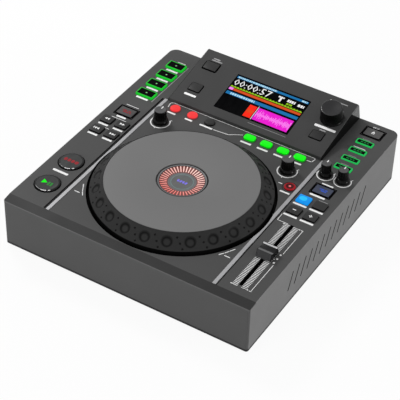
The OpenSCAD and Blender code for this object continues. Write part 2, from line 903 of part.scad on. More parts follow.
module jog_hub() {
    color("gray")
        translate([0, jog_y, 0])
            difference() {
                union() {
                    translate([0, 0, hub_z0]) cylinder(r = hub_r, h = hub_top - hub_z0);
                    translate([0, 0, web_z - hub_flange_t]) cylinder(r = hub_flange_r, h = hub_flange_t);
                    translate([0, 0, code_z]) cylinder(r = code_r, h = code_t, $fn = 96);
                    translate([0, 0, code_z]) cylinder(r = hub_r + 3, h = web_z - code_z);
                    translate([0, 0, web_z + web_t]) cylinder(r = hub_flange_r, h = hub_cap_t);
                }
                translate([0, 0, hub_z0 - past])
                    cylinder(r = bearing_r + seat, h = bearing_z[1] + bearing_w + seat - hub_z0 + past);
                translate([0, 0, hub_z0]) cylinder(r = bearing_r - 2, h = hub_top);
                for (i = [0:code_slots - 1])
                    rotate([0, 0, i * 360 / code_slots])
                        translate([slot_r0, -code_slot_w / 2, code_z - past])
                            cube([code_slot_len, code_slot_w, code_t + 2 * past]);
            }
}

module jog_ring() {
    rise = plate_z - edge_z;
    run = jog_r - plate_r - rim_t;
    slope_a = atan2(rise, run);
    off_r = jog_wall * sin(slope_a);
    // Sphere that leaves a dimple of the chosen radius and depth
    ball_r = (dimple_r * dimple_r + dimple_depth * dimple_depth) / (2 * dimple_depth);
    ball_out = ball_r - dimple_depth;
    mid_r = (jog_r + plate_r + rim_t) / 2;
    mid_z = (plate_z + edge_z) / 2;
    seat_r = plate_r + fit - 2 * seat;
    inner_top = plate_z - plate_t - jog_wall;
    color("darkslategray")
        translate([0, jog_y, 0])
            difference() {
                rotate_extrude($fn = 128)
                    polygon([
                        [hub_r + hub_gap, web_z], [plate_seat_r, web_z], [plate_seat_r + 1, inner_top],
                        [plate_r - off_r / 2, inner_top], [jog_r - jog_wall, edge_z - off_r],
                        [jog_r - jog_wall, skirt_z], [jog_r, skirt_z], [jog_r, edge_z],
                        [plate_r + rim_t, plate_z], [seat_r, plate_z], [seat_r, plate_z - plate_t],
                        [plate_seat_r - 2, plate_z - plate_t], [plate_seat_r - 2, web_z + web_t],
                        [hub_r + hub_gap, web_z + web_t]
                    ]);
                for (i = [0:dimple_count - 1])
                    rotate([0, 0, (i + 0.5) * 360 / dimple_count])
                        translate([mid_r + ball_out * sin(slope_a), 0, mid_z + ball_out * cos(slope_a)])
                            sphere(r = ball_r);
            }
}

module jog_plate() {
    color("gray")
        translate([0, jog_y, plate_z - plate_t])
            difference() {
                cylinder(r = plate_r, h = plate_t, $fn = 128);
                translate([0, 0, -past]) cylinder(r = dial_r + 0.4, h = plate_t + 2 * past);
            }
}

module jog_boards() {
    sensor_w = 8;
    color("seagreen") {
        translate([0, jog_y, lamp_board_z]) cylinder(r = lamp_board_r, h = board_t);
        difference() {
            translate([slot_r0, jog_y - sensor_w / 2, well_z])
                cube([code_r - slot_r0 + 5, sensor_w, code_z - well_z + 5]);
            translate([slot_r0 - past, jog_y - sensor_w / 2 - past, code_z - 2 * fit])
                cube([code_r - slot_r0 + past + 1, sensor_w + 2 * past, code_t + 4 * fit]);
        }
    }
}

module dial_lens() {
    z0 = lamp_board_z + board_t;
    brim_z = plate_z - dial_brim;
    lamp_z = [plate_z - dial_drop, plate_z - dial_drop / 2];
    skin = 1.2;
    color("slategray")
        translate([0, jog_y, 0])
            rotate_extrude($fn = 96)
                polygon([
                    [0, lamp_z[0] - skin], [lamp_r[0], lamp_z[0] - skin], [lamp_r[1], lamp_z[1] - skin],
                    [lamp_board_r - 2, lamp_z[1] - skin], [lamp_board_r - 2, z0], [dial_r, z0],
                    [dial_r, brim_z], [lamp_r[1], lamp_z[1]], [lamp_r[0], lamp_z[0]], [0, lamp_z[0]]
                ]);
}

// ---- Knobs and fader cap ----

module deck_knob(at, skirt_r, top_r, h) {
    color("black")
        translate([at[0], at[1], deck_z]) {
            knob(skirt_r, top_r, h, skirt_h);
            pointer(top_r, h);
        }
}

module effect_knob() { deck_knob(effect_knob_at, knob_r, knob_r - knob_taper, knob_h); }

module jog_adjust_knob() { deck_knob(jog_knob_at, knob_r, knob_r - knob_taper, knob_h); }

module start_time_knob() { small_knob(start_knob_at); }

module stop_time_knob() { small_knob(stop_knob_at); }

module small_knob(at) { deck_knob(at, small_knob_r, small_knob_r - small_knob_taper, small_knob_h); }

module browse_knob() {
    color("black")
        on_console()
            translate([browse_at[0], browse_at[1], 0])
                knob(browse_r, browse_r - browse_taper, browse_h, browse_skirt_h);
}

module fader_cap() {
    gap = 1;
    dish_r = 16;
    dish = 2;
    lean = 3;
    color("black")
        translate([right_x, fader_y, deck_z]) {
            difference() {
                translate([-cap_w / 2, 0, 0])
                    rotate([90, 0, 90])
                        linear_extrude(cap_w)
                            polygon([
                                [-cap_len / 2, gap], [cap_len / 2, gap], [cap_len / 2 - lean, cap_h],
                                [-cap_len / 2 + lean, cap_h]
                            ]);
                translate([-cap_w / 2 - past, 0, cap_h + dish_r - dish])
                    rotate([0, 90, 0])
                        cylinder(r = dish_r, h = cap_w + 2 * past, $fn = 96);
            }
            translate([-lever_w / 2, -lever_len / 2, -wall - 5])
                cube([lever_w, lever_len, wall + 5 + gap + past]);
        }
}

// ---- Keys ----

module pad(i) { color("limegreen") deck_key(pad_at(i), PAD); }

module framed_key(at) { color("dimgray") deck_key(at, FRAMED); }

module small_key(at) { color("dimgray") deck_key(at, SMALL); }

module round_key(y) { color("black") deck_key([left_x, y], ROUND); }

module effect_key(i) { color(i < 2 ? "red" : "dimgray") deck_key(effect_at(i), LIT_DOT); }

module loop_key(i) { color("lime") deck_key(loop_at(i), LIT); }

module record_key() { color("crimson") deck_key(record_at, DOT); }

module source_key(i) { color("green") deck_key(source_at(i), SOURCE); }

module console_panel_key(at, style) { color("black") console_key(at, style); }

module key_lock_key() { color("deepskyblue") deck_key(pair_at(0, 0), SMALL); }

// Round power key in the rear wall
module power_button() {
    depth = wall + fit + flange_t;
    color("black")
        rear_part(power_x) {
            translate([0, 0, -flange_t]) cylinder(r = power_key_r, h = depth + power_rise);
            translate([0, 0, -flange_t]) cylinder(r = power_key_r + flange_lip, h = flange_t);
        }
}

top_case();
base_pan();
feet();
case_screws();
console_hood();
display_window();
display_panel();
trim_strips();
main_board();
key_boards();
tact_switches();
jog_base();
jog_bearings();
jog_boards();
dial_lens();
fader_body();
rotary_controls();
rear_sockets();
jog_ring();
jog_plate();
jog_hub();
browse_knob();
effect_knob();
jog_adjust_knob();
start_time_knob();
stop_time_knob();
fader_cap();
pad(0);  // pad_1
pad(1);  // pad_2
pad(2);  // pad_3
pad(3);  // pad_4
framed_key([left_x, mode_y]);  // mode_button
small_key(small_at(0, 0));  // search_back_button
small_key(small_at(1, 0));  // search_forward_button
small_key(small_at(0, 1));  // track_back_button
small_key(small_at(1, 1));  // track_forward_button
round_key(cue_y);  // cue_button
round_key(play_y);  // play_button
effect_key(0);  // effect_button_1
effect_key(1);  // effect_button_2
effect_key(2);  // effect_button_3
loop_key(0);  // loop_button_1
loop_key(1);  // loop_button_2
loop_key(2);  // loop_button_3
loop_key(3);  // loop_button_4
record_key();  // record_button
console_panel_key(back_at, WIDE);  // back_button
console_panel_key(menu_at, SQUARE);  // menu_button
console_panel_key(view_at, SQUARE);  // view_button
framed_key(eject_at);  // eject_button
source_key(0);  // source_button_1
source_key(1);  // source_button_2
source_key(2);  // source_button_3
source_key(3);  // source_button_4
framed_key(sync_at);  // sync_button
key_lock_key();  // key_lock_button
small_key(pair_at(1, 0));  // tempo_reset_button
small_key(pair_at(0, 1));  // bend_minus_button
small_key(pair_at(1, 1));  // bend_plus_button
power_button();
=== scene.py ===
"""Looks of a tabletop DJ media player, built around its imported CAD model.

Sizes are in millimetres in this file, and the meshes are made in metres. Every piece
stands at its place in the shared frame: +X right, +Y rear, +Z up, origin under the middle.
"""

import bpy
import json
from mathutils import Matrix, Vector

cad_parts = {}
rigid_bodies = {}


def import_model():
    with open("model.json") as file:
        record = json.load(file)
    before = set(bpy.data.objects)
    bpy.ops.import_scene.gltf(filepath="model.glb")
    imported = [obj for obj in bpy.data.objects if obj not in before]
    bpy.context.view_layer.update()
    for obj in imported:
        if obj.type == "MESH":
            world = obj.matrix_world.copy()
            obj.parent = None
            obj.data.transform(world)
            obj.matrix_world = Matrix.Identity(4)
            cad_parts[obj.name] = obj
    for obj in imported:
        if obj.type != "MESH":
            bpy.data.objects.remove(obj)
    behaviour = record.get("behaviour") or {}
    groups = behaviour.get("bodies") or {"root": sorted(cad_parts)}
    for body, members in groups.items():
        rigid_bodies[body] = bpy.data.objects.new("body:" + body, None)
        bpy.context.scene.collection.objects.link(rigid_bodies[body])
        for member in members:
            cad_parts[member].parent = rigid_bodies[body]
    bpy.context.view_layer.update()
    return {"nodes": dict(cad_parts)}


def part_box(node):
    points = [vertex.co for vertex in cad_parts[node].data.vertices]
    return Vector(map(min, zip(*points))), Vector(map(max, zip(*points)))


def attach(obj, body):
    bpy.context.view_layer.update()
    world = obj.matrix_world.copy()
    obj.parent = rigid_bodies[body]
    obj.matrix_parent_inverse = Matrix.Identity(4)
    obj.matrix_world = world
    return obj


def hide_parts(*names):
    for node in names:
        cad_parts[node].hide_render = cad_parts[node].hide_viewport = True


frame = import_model()

import json
import logging
import math
import operator
import random
from dataclasses import dataclass
from enum import Enum
from functools import reduce
from typing import Callable, Sequence

import bmesh
import bpy
from mathutils import Matrix, Vector

LOG = logging.getLogger("media_player")
MM = 0.001
PRINT_LIFT = 0.03  # a print stands between these two heights over its face
PRINT_TOP = 0.08
CAPITAL_SHARE = 0.73  # height of a capital letter over its font size
WHITE = (1.0, 1.0, 1.0, 1.0)
JOG_CENTRE = (0.0, -58.5)
DIMPLES = 24

Point2 = tuple[float, float]
Point3 = tuple[float, float, float]
Colour = int | tuple[int, int, int]
Inputs = dict[int | str, object]


# ---------------------------------------------------------------- node trees


def linear(colour: Colour, scale: float = 1.0, lift: float = 0.0) -> tuple[float, ...]:
    """Turns a display colour into a linear one.

    Args:
        colour: Red, green and blue from 0 to 255, as they show on a display, or one number for a grey.
        scale: Factor on the linear colour.
        lift: What is added to the linear colour.

    Returns:
        Linear red, green, blue and an alpha of 1.
    """
    shares = [value / 255 for value in ((colour,) * 3 if isinstance(colour, int) else colour)]
    plain = [s / 12.92 if s <= 0.04045 else ((s + 0.055) / 1.055) ** 2.4 for s in shares]
    return (*(min(1.0, c * scale + lift) for c in plain), 1.0)


def math_node(operation: str, swap: bool = False) -> Callable[..., "Value"]:
    """Makes a method of Value that adds one Math node.

    Args:
        operation: Name of the node's operation.
        swap: True where the other operand comes first.

    Returns:
        The method, whose operand is left out where the operation takes only one.
    """

    def method(self: "Value", other: "Value | float | None" = None) -> "Value":
        """Adds the node and gives its result."""
        operands = [self] if other is None else [other, self] if swap else [self, other]
        return self.tree.add("ShaderNodeMath", dict(enumerate(operands)), operation=operation)

    return method


class Value:
    """A number, vector, colour, shader or shape on its way through a node tree."""

    def __init__(self, tree: "Tree", socket: bpy.types.NodeSocket | None) -> None:
        """Wraps an output socket of the tree."""
        self.tree = tree
        self.socket = socket

    __add__, __radd__ = math_node("ADD"), math_node("ADD", True)
    __sub__, __rsub__ = math_node("SUBTRACT"), math_node("SUBTRACT", True)
    __mul__, __rmul__ = math_node("MULTIPLY"), math_node("MULTIPLY", True)
    __pow__, __gt__, __lt__ = math_node("POWER"), math_node("GREATER_THAN"), math_node("LESS_THAN")
    __abs__, fraction, at_most, at_least = map(math_node, ("ABSOLUTE", "FRACT", "MINIMUM", "MAXIMUM"))
    cosine, sine, angle_over = map(math_node, ("COSINE", "SINE", "ARCTAN2"))

    def clamped(self) -> "Value":
        """Limits the value to 0 and 1."""
        return self.at_most(1.0).at_least(0.0)


class Tree:
    """Node tree that is built from Python expressions."""

    def __init__(self, tree: bpy.types.NodeTree) -> None:
        """Empties the tree."""
        self.tree = tree
        tree.nodes.clear()

    def add(self, kind: str, inputs: Inputs | None = None, output: int | str = 0,
            **settings: object) -> Value:
        """Adds a node.

        Args:
            kind: The node's type.
            inputs: Values or links, by socket name or number.
            output: Socket that the result is read from.
            **settings: Properties of the node, set before its sockets.

        Returns:
            The chosen output.
        """
        node = self.tree.nodes.new(kind)
        for key, setting in settings.items():
            setattr(node, key, setting)
        for key, item in (inputs or {}).items():
            if isinstance(item, Value):
                self.tree.links.new(item.socket, node.inputs[key])
            else:
                node.inputs[key].default_value = item
        return Value(self, node.outputs[output] if node.outputs else None)

    def seen(self) -> Value:
        """Gives 1 to a ray that the camera sees, straight or mirrored, and 0 to a ray that only lights.

        Returns:
            The value, 0 or 1.
        """
        rays = [self.add("ShaderNodeLightPath", output=f"Is {kind} Ray")
                for kind in ("Camera", "Glossy", "Transmission")]
        return reduce(operator.add, rays).clamped()


class Shader(Tree):
    """Material that is made from Python expressions."""

    def __init__(self, name: str) -> None:
        """Starts an empty material of that name.

        Args:
            name: Name of the material.
        """
        self.material = bpy.data.materials.new(name)
        self.material.use_nodes = True
        super().__init__(self.material.node_tree)
        self.place = self.add("ShaderNodeTexCoord", output="Object")

    def axis(self, letter: str) -> Value:
        """Place on the piece along X, Y or Z, in metres."""
        return self.add("ShaderNodeSeparateXYZ", {0: self.place}, letter)

    def stretched(self, scale: Point3, centre: Point2 = (0.0, 0.0)) -> Value:
        """Place on the piece, counted from a centre and stretched along the axes.

        Args:
            scale: Factor along X, Y and Z.
            centre: Point that counts as the origin, in millimetres.

        Returns:
            The place as a vector.
        """
        shift = (-centre[0] * MM, -centre[1] * MM, 0.0)
        moved = self.add("ShaderNodeVectorMath", {0: self.place, 1: shift}, operation="ADD")
        return self.add("ShaderNodeVectorMath", {0: moved, 1: scale}, operation="MULTIPLY")

    def noise(self, grain: float, detail: float = 2.0, place: Value | None = None) -> Value:
        """Soft noise around 0.5, whose patches are about one grain across, in millimetres."""
        inputs = {"Vector": place or self.place, "Scale": 1 / (grain * MM), "Detail": detail}
        return self.add("ShaderNodeTexNoise", inputs)

    def spread(self, value: Value, low: float, high: float) -> Value:
        """Stretches what lies between two values over 0 to 1."""
        return self.add("ShaderNodeMapRange", {"Value": value, "From Min": low, "From Max": high})

    def patches(self, grain: float, detail: float = 2.0, low: float = 0.3, high: float = 0.7,
                place: Value | None = None) -> Value:
        """Soft patches from 0 to 1, with more of both ends than the plain noise has."""
        return self.spread(self.noise(grain, detail, place), low, high)

    def blend(self, factor: Value, first: object, second: object) -> Value:
        """Mixes two colours by a factor."""
        return self.add("ShaderNodeMix", {0: factor, 6: first, 7: second}, 2, data_type="RGBA")

    def shades(self, factor: Value, colour: Colour, low: float, high: float = 1.0) -> Value:
        """Mixes two strengths of one colour by a factor."""
        return self.blend(factor, linear(colour, low), linear(colour, high))

    def bump(self, height: Value, relief: float) -> Value:
        """Normal of a surface whose height varies by that relief, in millimetres."""
        return self.add("ShaderNodeBump", {"Height": height, "Distance": relief * MM, "Strength": 1.0})

    def surface(self, inputs: Inputs) -> bpy.types.Material:
        """Ends the material in a Principled surface with those inputs."""
        return self.finished(self.add("ShaderNodeBsdfPrincipled", inputs))

    def finished(self, shader: Value) -> bpy.types.Material:
        """Ends the material in that shader."""
        self.add("ShaderNodeOutputMaterial", {"Surface": shader})
        return self.material


# ---------------------------------------------------------------- finishes


@dataclass(frozen=True)
class Region:
    """Part of a piece with another colour, used mostly for painted shade and painted light; bounded in
    millimetres, and X counts from the middle plane.
    """

    colour: Colour
    x: Point2 | None = None
    y: Point2 | None = None
    z: Point2 | None = None
    over: Point3 | None = None

    def factor(self, shader: Shader) -> Value:
        """Gives 1 inside the region and 0 outside.

        Args:
            shader: The material that the region is part of.

        Returns:
            The region's share. Over, if given, is the Y, Z and slope of a line that the region lies above.
        """
        tests = []
        for letter, span in (("X", self.x), ("Y", self.y), ("Z", self.z)):
            if span:
                value = abs(shader.axis(letter)) if letter == "X" else shader.axis(letter)
                tests += [value > span[0] * MM, value < span[1] * MM]
        if self.over:
            y, z, slope = self.over
            tests.append(shader.axis("Z") + slope * shader.axis("Y") > (z + slope * y) * MM)
        return reduce(operator.mul, tests)


@dataclass(frozen=True)
class DimpleRimShade:
    """Painted shade on the rims of the finger dimples, which stand in a circle on the wheel's slope."""

    colour: Colour
    middle: float = 94.1
    slant: float = 1.36
    peak: float = 4.9
    width: float = 2.2

    def factor(self, shader: Shader) -> Value:
        """Gives 1 on a dimple's rim, falling to 0 beside it.

        Args:
            shader: Shader that the rims are mixed in.

        Returns:
            The factor, from 0 to 1.
        """
        x, y = shader.axis("X") - JOG_CENTRE[0] * MM, shader.axis("Y") - JOG_CENTRE[1] * MM
        radius = (x * x + y * y) ** 0.5
        turn = y.angle_over(x) * (DIMPLES / math.tau) + float(DIMPLES)
        along = (turn.fraction() - 0.5) * (math.tau / DIMPLES) * radius
        across = (radius - self.middle * MM) * self.slant
        distance = (along * along + across * across) ** 0.5
        return 1.0 - (abs(distance - self.peak * MM) * (1 / (self.width * MM))).clamped()


@dataclass(frozen=True)
class Moulded:
    """Moulded plastic or rubber with a fine texture and faint unevenness."""

    colour: Colour
    roughness: float = 0.5
    grain: float = 0.3
    relief: float = 0.006
    mottle: float = 0.04
    gloss: float = 0.12
    regions: tuple[Region | DimpleRimShade, ...] = ()

    def build(self, s: Shader) -> bpy.types.Material:
        """Makes the material.

        Args:
            s: Shader of the new material.

        Returns:
            The finished material.
        """
        cloud, fine = s.patches(38.0, 3.0), s.noise(self.grain)
        colour = s.shades(cloud, self.colour, 1 - self.mottle, 1 + self.mottle)
        for region in self.regions:
            colour = s.blend(region.factor(s), colour, linear(region.colour))
        rough = self.roughness - 0.05 + 0.07 * cloud + 0.05 * fine
        return s.surface({"Base Color": colour, "Roughness": rough, "Specular IOR Level": self.gloss,
                          "Normal": s.bump(fine, self.relief)})


@dataclass(frozen=True)
class Gloss:
    """Polished plastic with faint smears that show only in its reflections."""

    colour: Colour
    roughness: float
    gloss: float

    def build(self, s: Shader) -> bpy.types.Material:
        """Makes the material.

        Args:
            s: Shader of the new material.

        Returns:
            The finished material.
        """
        smear = s.patches(9.0, 4.0, 0.35, 0.7, s.stretched((1.0, 0.35, 1.0)))
        colour = s.blend(smear, linear(self.colour), linear(self.colour, 1.25, 0.002))
        return s.surface({"Base Color": colour, "Roughness": self.roughness + 0.10 * smear,
                          "Specular IOR Level": self.gloss, "Normal": s.bump(s.noise(2.2), 0.004)})


@dataclass(frozen=True)
class Lit:
    """Translucent plastic lit from behind, a little uneven over its face."""

    colour: Colour
    glow: Colour
    unevenness: float = 0.1
    roughness: float = 0.35
    strength: float = 1.0
    gloss: float = 0.12

    def build(self, s: Shader) -> bpy.types.Material:
        """Makes the material.

        Args:
            s: Shader of the new material.

        Returns:
            The finished material.
        """
        patch = s.patches(4.0)
        return s.surface({"Base Color": linear(self.colour), "Roughness": self.roughness + 0.1 * patch,
                          "Specular IOR Level": self.gloss, "Emission Strength": self.strength,
                          "Emission Color": s.shades(patch, self.glow, 1 - self.unevenness)})


@dataclass(frozen=True)
class Brushed:
    """Metal with fine scratches along one direction, or in rings round a point."""

    colour: Colour
    roughness: float
    stretch: Point3 = (1.0, 1.0, 1.0)
    ring_centre: Point2 | None = None
    metallic: float = 1.0
    relief: float = 0.006
    grain: float = 0.25
    tone: float = 0.1
    gloss: float = 0.5

    def build(self, s: Shader) -> bpy.types.Material:
        """Makes the material.

        Args:
            s: Shader of the new material.

        Returns:
            The finished material.
        """
        place = s.stretched(self.stretch)
        if self.ring_centre:
            flat = s.stretched((1.0, 1.0, 0.0), self.ring_centre)
            radius = s.add("ShaderNodeVectorMath", {0: flat}, "Value", operation="LENGTH")
            place = s.add("ShaderNodeCombineXYZ", {"X": radius})
        lines, cloud = s.noise(self.grain, 3.0, place), s.patches(45.0, 3.0)
        mix = (0.7 * s.spread(lines, 0.3, 0.7) + 0.3 * cloud).clamped()
        return s.surface({"Base Color": s.shades(mix, self.colour, 1 - self.tone, 1 + self.tone),
                          "Metallic": self.metallic, "Specular IOR Level": self.gloss,
                          "Roughness": self.roughness + 0.12 * lines - 0.03 * cloud,
                          "Normal": s.bump(lines, self.relief)})


@dataclass(frozen=True)
class Ink:
    """Screen-printed ink, slightly uneven; the glints use it for painted highlights."""

    colour: Colour
    roughness: float = 0.55

    def build(self, s: Shader) -> bpy.types.Material:
        """Makes the material.

        Args:
            s: Shader of the new material.

        Returns:
            The finished material.
        """
        wear = s.patches(0.9, 3.0, 0.25, 0.75)
        return s.surface({"Base Color": s.shades(wear, self.colour, 0.86),
                          "Roughness": self.roughness + 0.1 * wear})


@dataclass(frozen=True)
class Board:
    """Solder resist with copper tracks that shine through."""

    colour: Colour
    track: Colour

    def build(self, s: Shader) -> bpy.types.Material:
        """Makes the material.

        Args:
            s: Shader of the new material.

        Returns:
            The finished material.
        """
        cells = s.add("ShaderNodeTexVoronoi", {"Vector": s.stretched((1.0, 1.0, 0.0)), "Scale": 160.0},
                      "Distance", feature="DISTANCE_TO_EDGE")
        tracks = cells < 0.07
        return s.surface({"Base Color": s.blend(tracks, linear(self.colour), linear(self.track)),
                          "Roughness": 0.35 + 0.2 * s.noise(3.0), "Normal": s.bump(tracks, 0.03)})


@dataclass(frozen=True)
class Lamps:
    """Row of lamps behind a lens, brighter towards the rear than towards the front."""

    colour: Colour
    front: Colour
    rear: Colour
    span: Point2

    def build(self, s: Shader) -> bpy.types.Material:
        """Makes the material.

        Args:
            s: Shader of the new material.

        Returns:
            The finished material.
        """
        share = s.spread(s.axis("Y"), self.span[0] * MM, self.span[1] * MM)
        flicker = s.patches(3.0, 2.0, 0.2, 0.8)
        mix = (0.8 * share + 0.2 * flicker).clamped()
        return s.surface({"Base Color": linear(self.colour), "Roughness": 0.3 + 0.1 * flicker,
                          "Emission Color": s.blend(mix, linear(self.front), linear(self.rear)),
                          "Emission Strength": 1.0})


class Finish(Enum):
    """Every finish of the player."""

    CASE = Moulded(74, grain=0.5, relief=0.012, regions=(
        Region(98, x=(154.9, 156.0)),  # side walls, lighter than the deck as painted light
        Region(43, y=(-178.0, -164.05), z=(64.05, 66.5)),  # sloping lip, darker as painted shade
        Region(88, y=(-178.0, -175.8), z=(63.2, 64.7)),  # fold below the lip, lighter as a painted highlight
        Region(6, x=(-1.0, 150.0), y=(-163.5, 160.0), z=(5.0, 65.85)),  # painted shade inside the openings
        Region(6, x=(149.0, 154.9), y=(-170.0, 160.0), z=(5.0, 63.0)),  # painted shade inside the grooves
    ))
    HOOD = Moulded(69, grain=0.45, relief=0.012, gloss=0.03, regions=(
        Region(8, x=(101.4, 103.5)),  # cheeks, near-black as painted shade
        Region(104, x=(101.4, 103.5), over=(168.5, 66.0, 0.846)),  # rear upper part of the cheeks, lighter as painted light
        Region(40, y=(168.2, 169.0)),  # rear wall
    ))
    PAN = Moulded((34, 34, 35), 0.45, 0.6, 0.01)
    RUBBER = Moulded(20, 0.8, 0.8, 0.03)
    SOCKET = Moulded((26, 26, 27), 0.4, 0.45, 0.012)
    HUB = Moulded(40, 0.5, 0.45, 0.012)
    RING = Moulded(43, 0.5, 0.35, 0.012, 0.05, 0.06, (
        # the skirt below the wheel's edge is near-black as painted shade, and the dimple rims get painted
        # shade
        Region(5, z=(50.0, 69.3)), DimpleRimShade(6),
    ))
    PLATE = Brushed(118, 0.62, ring_centre=JOG_CENTRE, metallic=0.0, relief=0.001,
                          grain=0.5, tone=0.02, gloss=0.06)
    STRIP = Brushed((160, 160, 162), 0.38, (1.0, 0.03, 1.0), metallic=0.2)
    STEEL = Brushed((170, 170, 172), 0.32)
    DARK_METAL = Brushed(14, 0.5, metallic=0.0, gloss=0.1)
    CAST = Brushed((60, 60, 61), 0.5, metallic=0.3)
    KEY = Moulded((80, 79, 79), 0.45)
    KEY_DARK = Moulded(46, 0.42)
    # near-black key walls: painted shade on the sides of the keys, also used for their flanges and stems
    KEY_SIDE_SHADE = Moulded(6, gloss=0.05)
    KEY_BLUISH = Moulded((66, 71, 88), 0.42)
    KEY_BLACK = Gloss((7, 7, 8), 0.16, 0.08)
    KEY_RIM = Gloss((6, 6, 7), 0.14, 0.2)
    # grey top of the round keys: painted reflection on glossy black plastic, beside its real gloss
    KEY_ROUND_REFLECTION = Gloss((56, 57, 57), 0.2, 0.14)
    PAD_FACE = Gloss(4, 0.16, 0.012)
    KNOB = Gloss(5, 0.22, 0.09)
    KNOB_CAP = Moulded((80, 80, 81), 0.45)
    BROWSE = Gloss(6, 0.26, 0.06)
    BROWSE_TOP = Moulded((42, 42, 43), 0.42)
    BROWSE_EDGE = Gloss((20, 20, 21), 0.2, 0.6)
    FADER_DARK = Moulded((22, 22, 23), 0.36)
    # the fader cap's black sides, lighter front, ridge and rear-edge line are painted shade and painted
    # highlights on one dark plastic
    FADER_SIDE_SHADE = Moulded(6, 0.4)
    FADER_FRONT_LIGHT = Moulded((58, 58, 59), 0.42)
    FADER_RIDGE_HIGHLIGHT = Moulded((104, 104, 105), 0.35, relief=0.004)
    FADER_EDGE_HIGHLIGHT = Moulded((206, 206, 207), 0.35, relief=0.004)
    # near-black nubs: painted shade on the small grip nubs
    NUB_SHADE = Moulded(12, 0.4, relief=0.004, gloss=0.06)
    JACK_RED = Moulded((170, 30, 30), 0.35, relief=0.004)
    JACK_WHITE = Moulded((220, 220, 218), 0.35, relief=0.004)
    GLASS = Gloss((3, 3, 4), 0.1, 0.01)
    BOARD = Board((20, 92, 52), (30, 120, 70))
    CONTACT = Moulded((40, 36, 30), 0.4, 0.45, 0.012)
    INK = Ink(252)
    INK_GREY = Ink((150, 150, 151))
    INK_DARK = Moulded(5, relief=0.004, gloss=0.02)
    # pale arcs at the front of the round keys' rims: painted highlights, made like ink
    GLINT = Ink(226, 0.2)
    PAD_GLOW = Lit((3, 34, 8), (16, 196, 40), 0.2)
    PAD_DOT = Lit((40, 60, 40), (150, 220, 150), strength=0.9)
    GREEN = Lit((0, 20, 0), (0, 248, 4), 0.06, 0.05)
    GREEN_EDGE = Lit((2, 30, 4), (16, 150, 22))
    SOURCE_GLOW = Lit((2, 26, 12), (24, 186, 84), 0.15)
    SOURCE_DEEP = Lit((2, 18, 8), (12, 116, 52), 0.15)
    RED = Lit((60, 8, 8), (246, 56, 58), 0.06)
    RED_EDGE = Lit((40, 8, 8), (156, 52, 56))
    CRIMSON = Lit((40, 2, 4), (150, 10, 22), 0.2)
    CRIMSON_DEEP = Lit((20, 2, 3), (62, 6, 12), 0.2)
    PINK = Lit((60, 10, 10), (240, 120, 122))
    BLUE = Lit((0, 20, 40), (0, 146, 238), 0.1, 0.05)
    CYAN = Lit((10, 40, 60), (30, 194, 254), 0.1, 0.05)
    DIM_RED = Lit((70, 6, 8), (136, 24, 34), 0.2)
    DIM_BLUE = Lit((10, 20, 60), (46, 84, 190), 0.2)
    DIM_GREEN = Lit((4, 40, 8), (18, 140, 38), 0.3)
    DIAL = Gloss((104, 104, 105), 0.3, 0.1)
    DIAL_DARK = Gloss((26, 26, 27), 0.3, 0.1)
    DIAL_FLOOR = Gloss((96, 97, 97), 0.3, 0.1)
    DIAL_RING = Lit((60, 70, 70), (112, 134, 134), 0.2, strength=0.8)
    DIAL_WARM = Lit((60, 36, 34), (112, 56, 52), 0.15, strength=0.9)
    DIAL_MARK = Lit((60, 60, 110), (118, 108, 214), 0.2)
    DIAL_LAMPS = Lamps((70, 24, 18), (224, 84, 74), (255, 224, 214), (-80.0, -36.0))
    SCREEN_BLACK = Gloss((2, 2, 3), 0.1, 0.01)
    SCREEN_BLUE = Lit((0, 10, 30), (8, 112, 172), 0.1, 0.1)
    SCREEN_PALE = Lit((20, 30, 40), (180, 226, 244), 0.1, 0.1)
    SCREEN_WHITE = Lit(30, 246, 0.05, 0.1)
    SCREEN_LIME = Lit((20, 30, 0), (150, 206, 10), 0.2, 0.1)
    SCREEN_ORANGE = Lit((40, 10, 4), (214, 74, 16), 0.1, 0.1)
    SCREEN_RED = Lit((40, 2, 0), (255, 34, 0), 0.15, 0.1)
    SCREEN_MAGENTA = Lit((30, 0, 24), (238, 16, 212), 0.1, 0.05)
    SCREEN_LILAC = Lit((40, 10, 34), (255, 136, 246), 0.1, 0.05)

    def material(self) -> bpy.types.Material:
        """Gives the finish's material, made once."""
        name = f"look_{self.name.lower()}"
        return bpy.data.materials.get(name) or self.value.build(Shader(name))


# ---------------------------------------------------------------- geometry


def rounded(width: float, depth: float, radius: float, steps: int = 5) -> list[Point2]:
    """Outline of a rectangle with round corners, centred on the origin.

    Args:
        width: Size along X.
        depth: Size along Y.
        radius: Corner radius.
        steps: Segments in each corner.

    Returns:
        Corner points, anticlockwise.
    """
    radius = max(0.01, min(radius, width / 2 - 0.01, depth / 2 - 0.01))
    points: list[Point2] = []
    for sx, sy, start in ((1, 1, 0), (-1, 1, 90), (-1, -1, 180), (1, -1, 270)):
        for i in range(steps + 1):
            angle = math.radians(start + 90 * i / steps)
            points.append((sx * (width / 2 - radius) + radius * math.cos(angle),
                           sy * (depth / 2 - radius) + radius * math.sin(angle)))
    return points


def polar(radius: float, angle: float, z: float) -> Point3:
    """A point at a radius, an angle in radians and a height."""
    return (radius * math.cos(angle), radius * math.sin(angle), z)


def circle(radius: float, z: float, steps: int) -> list[Point3]:
    """Ring of points round the Z axis."""
    return [polar(radius, math.tau * i / steps, z) for i in range(steps)]


Sign = Sequence[tuple]


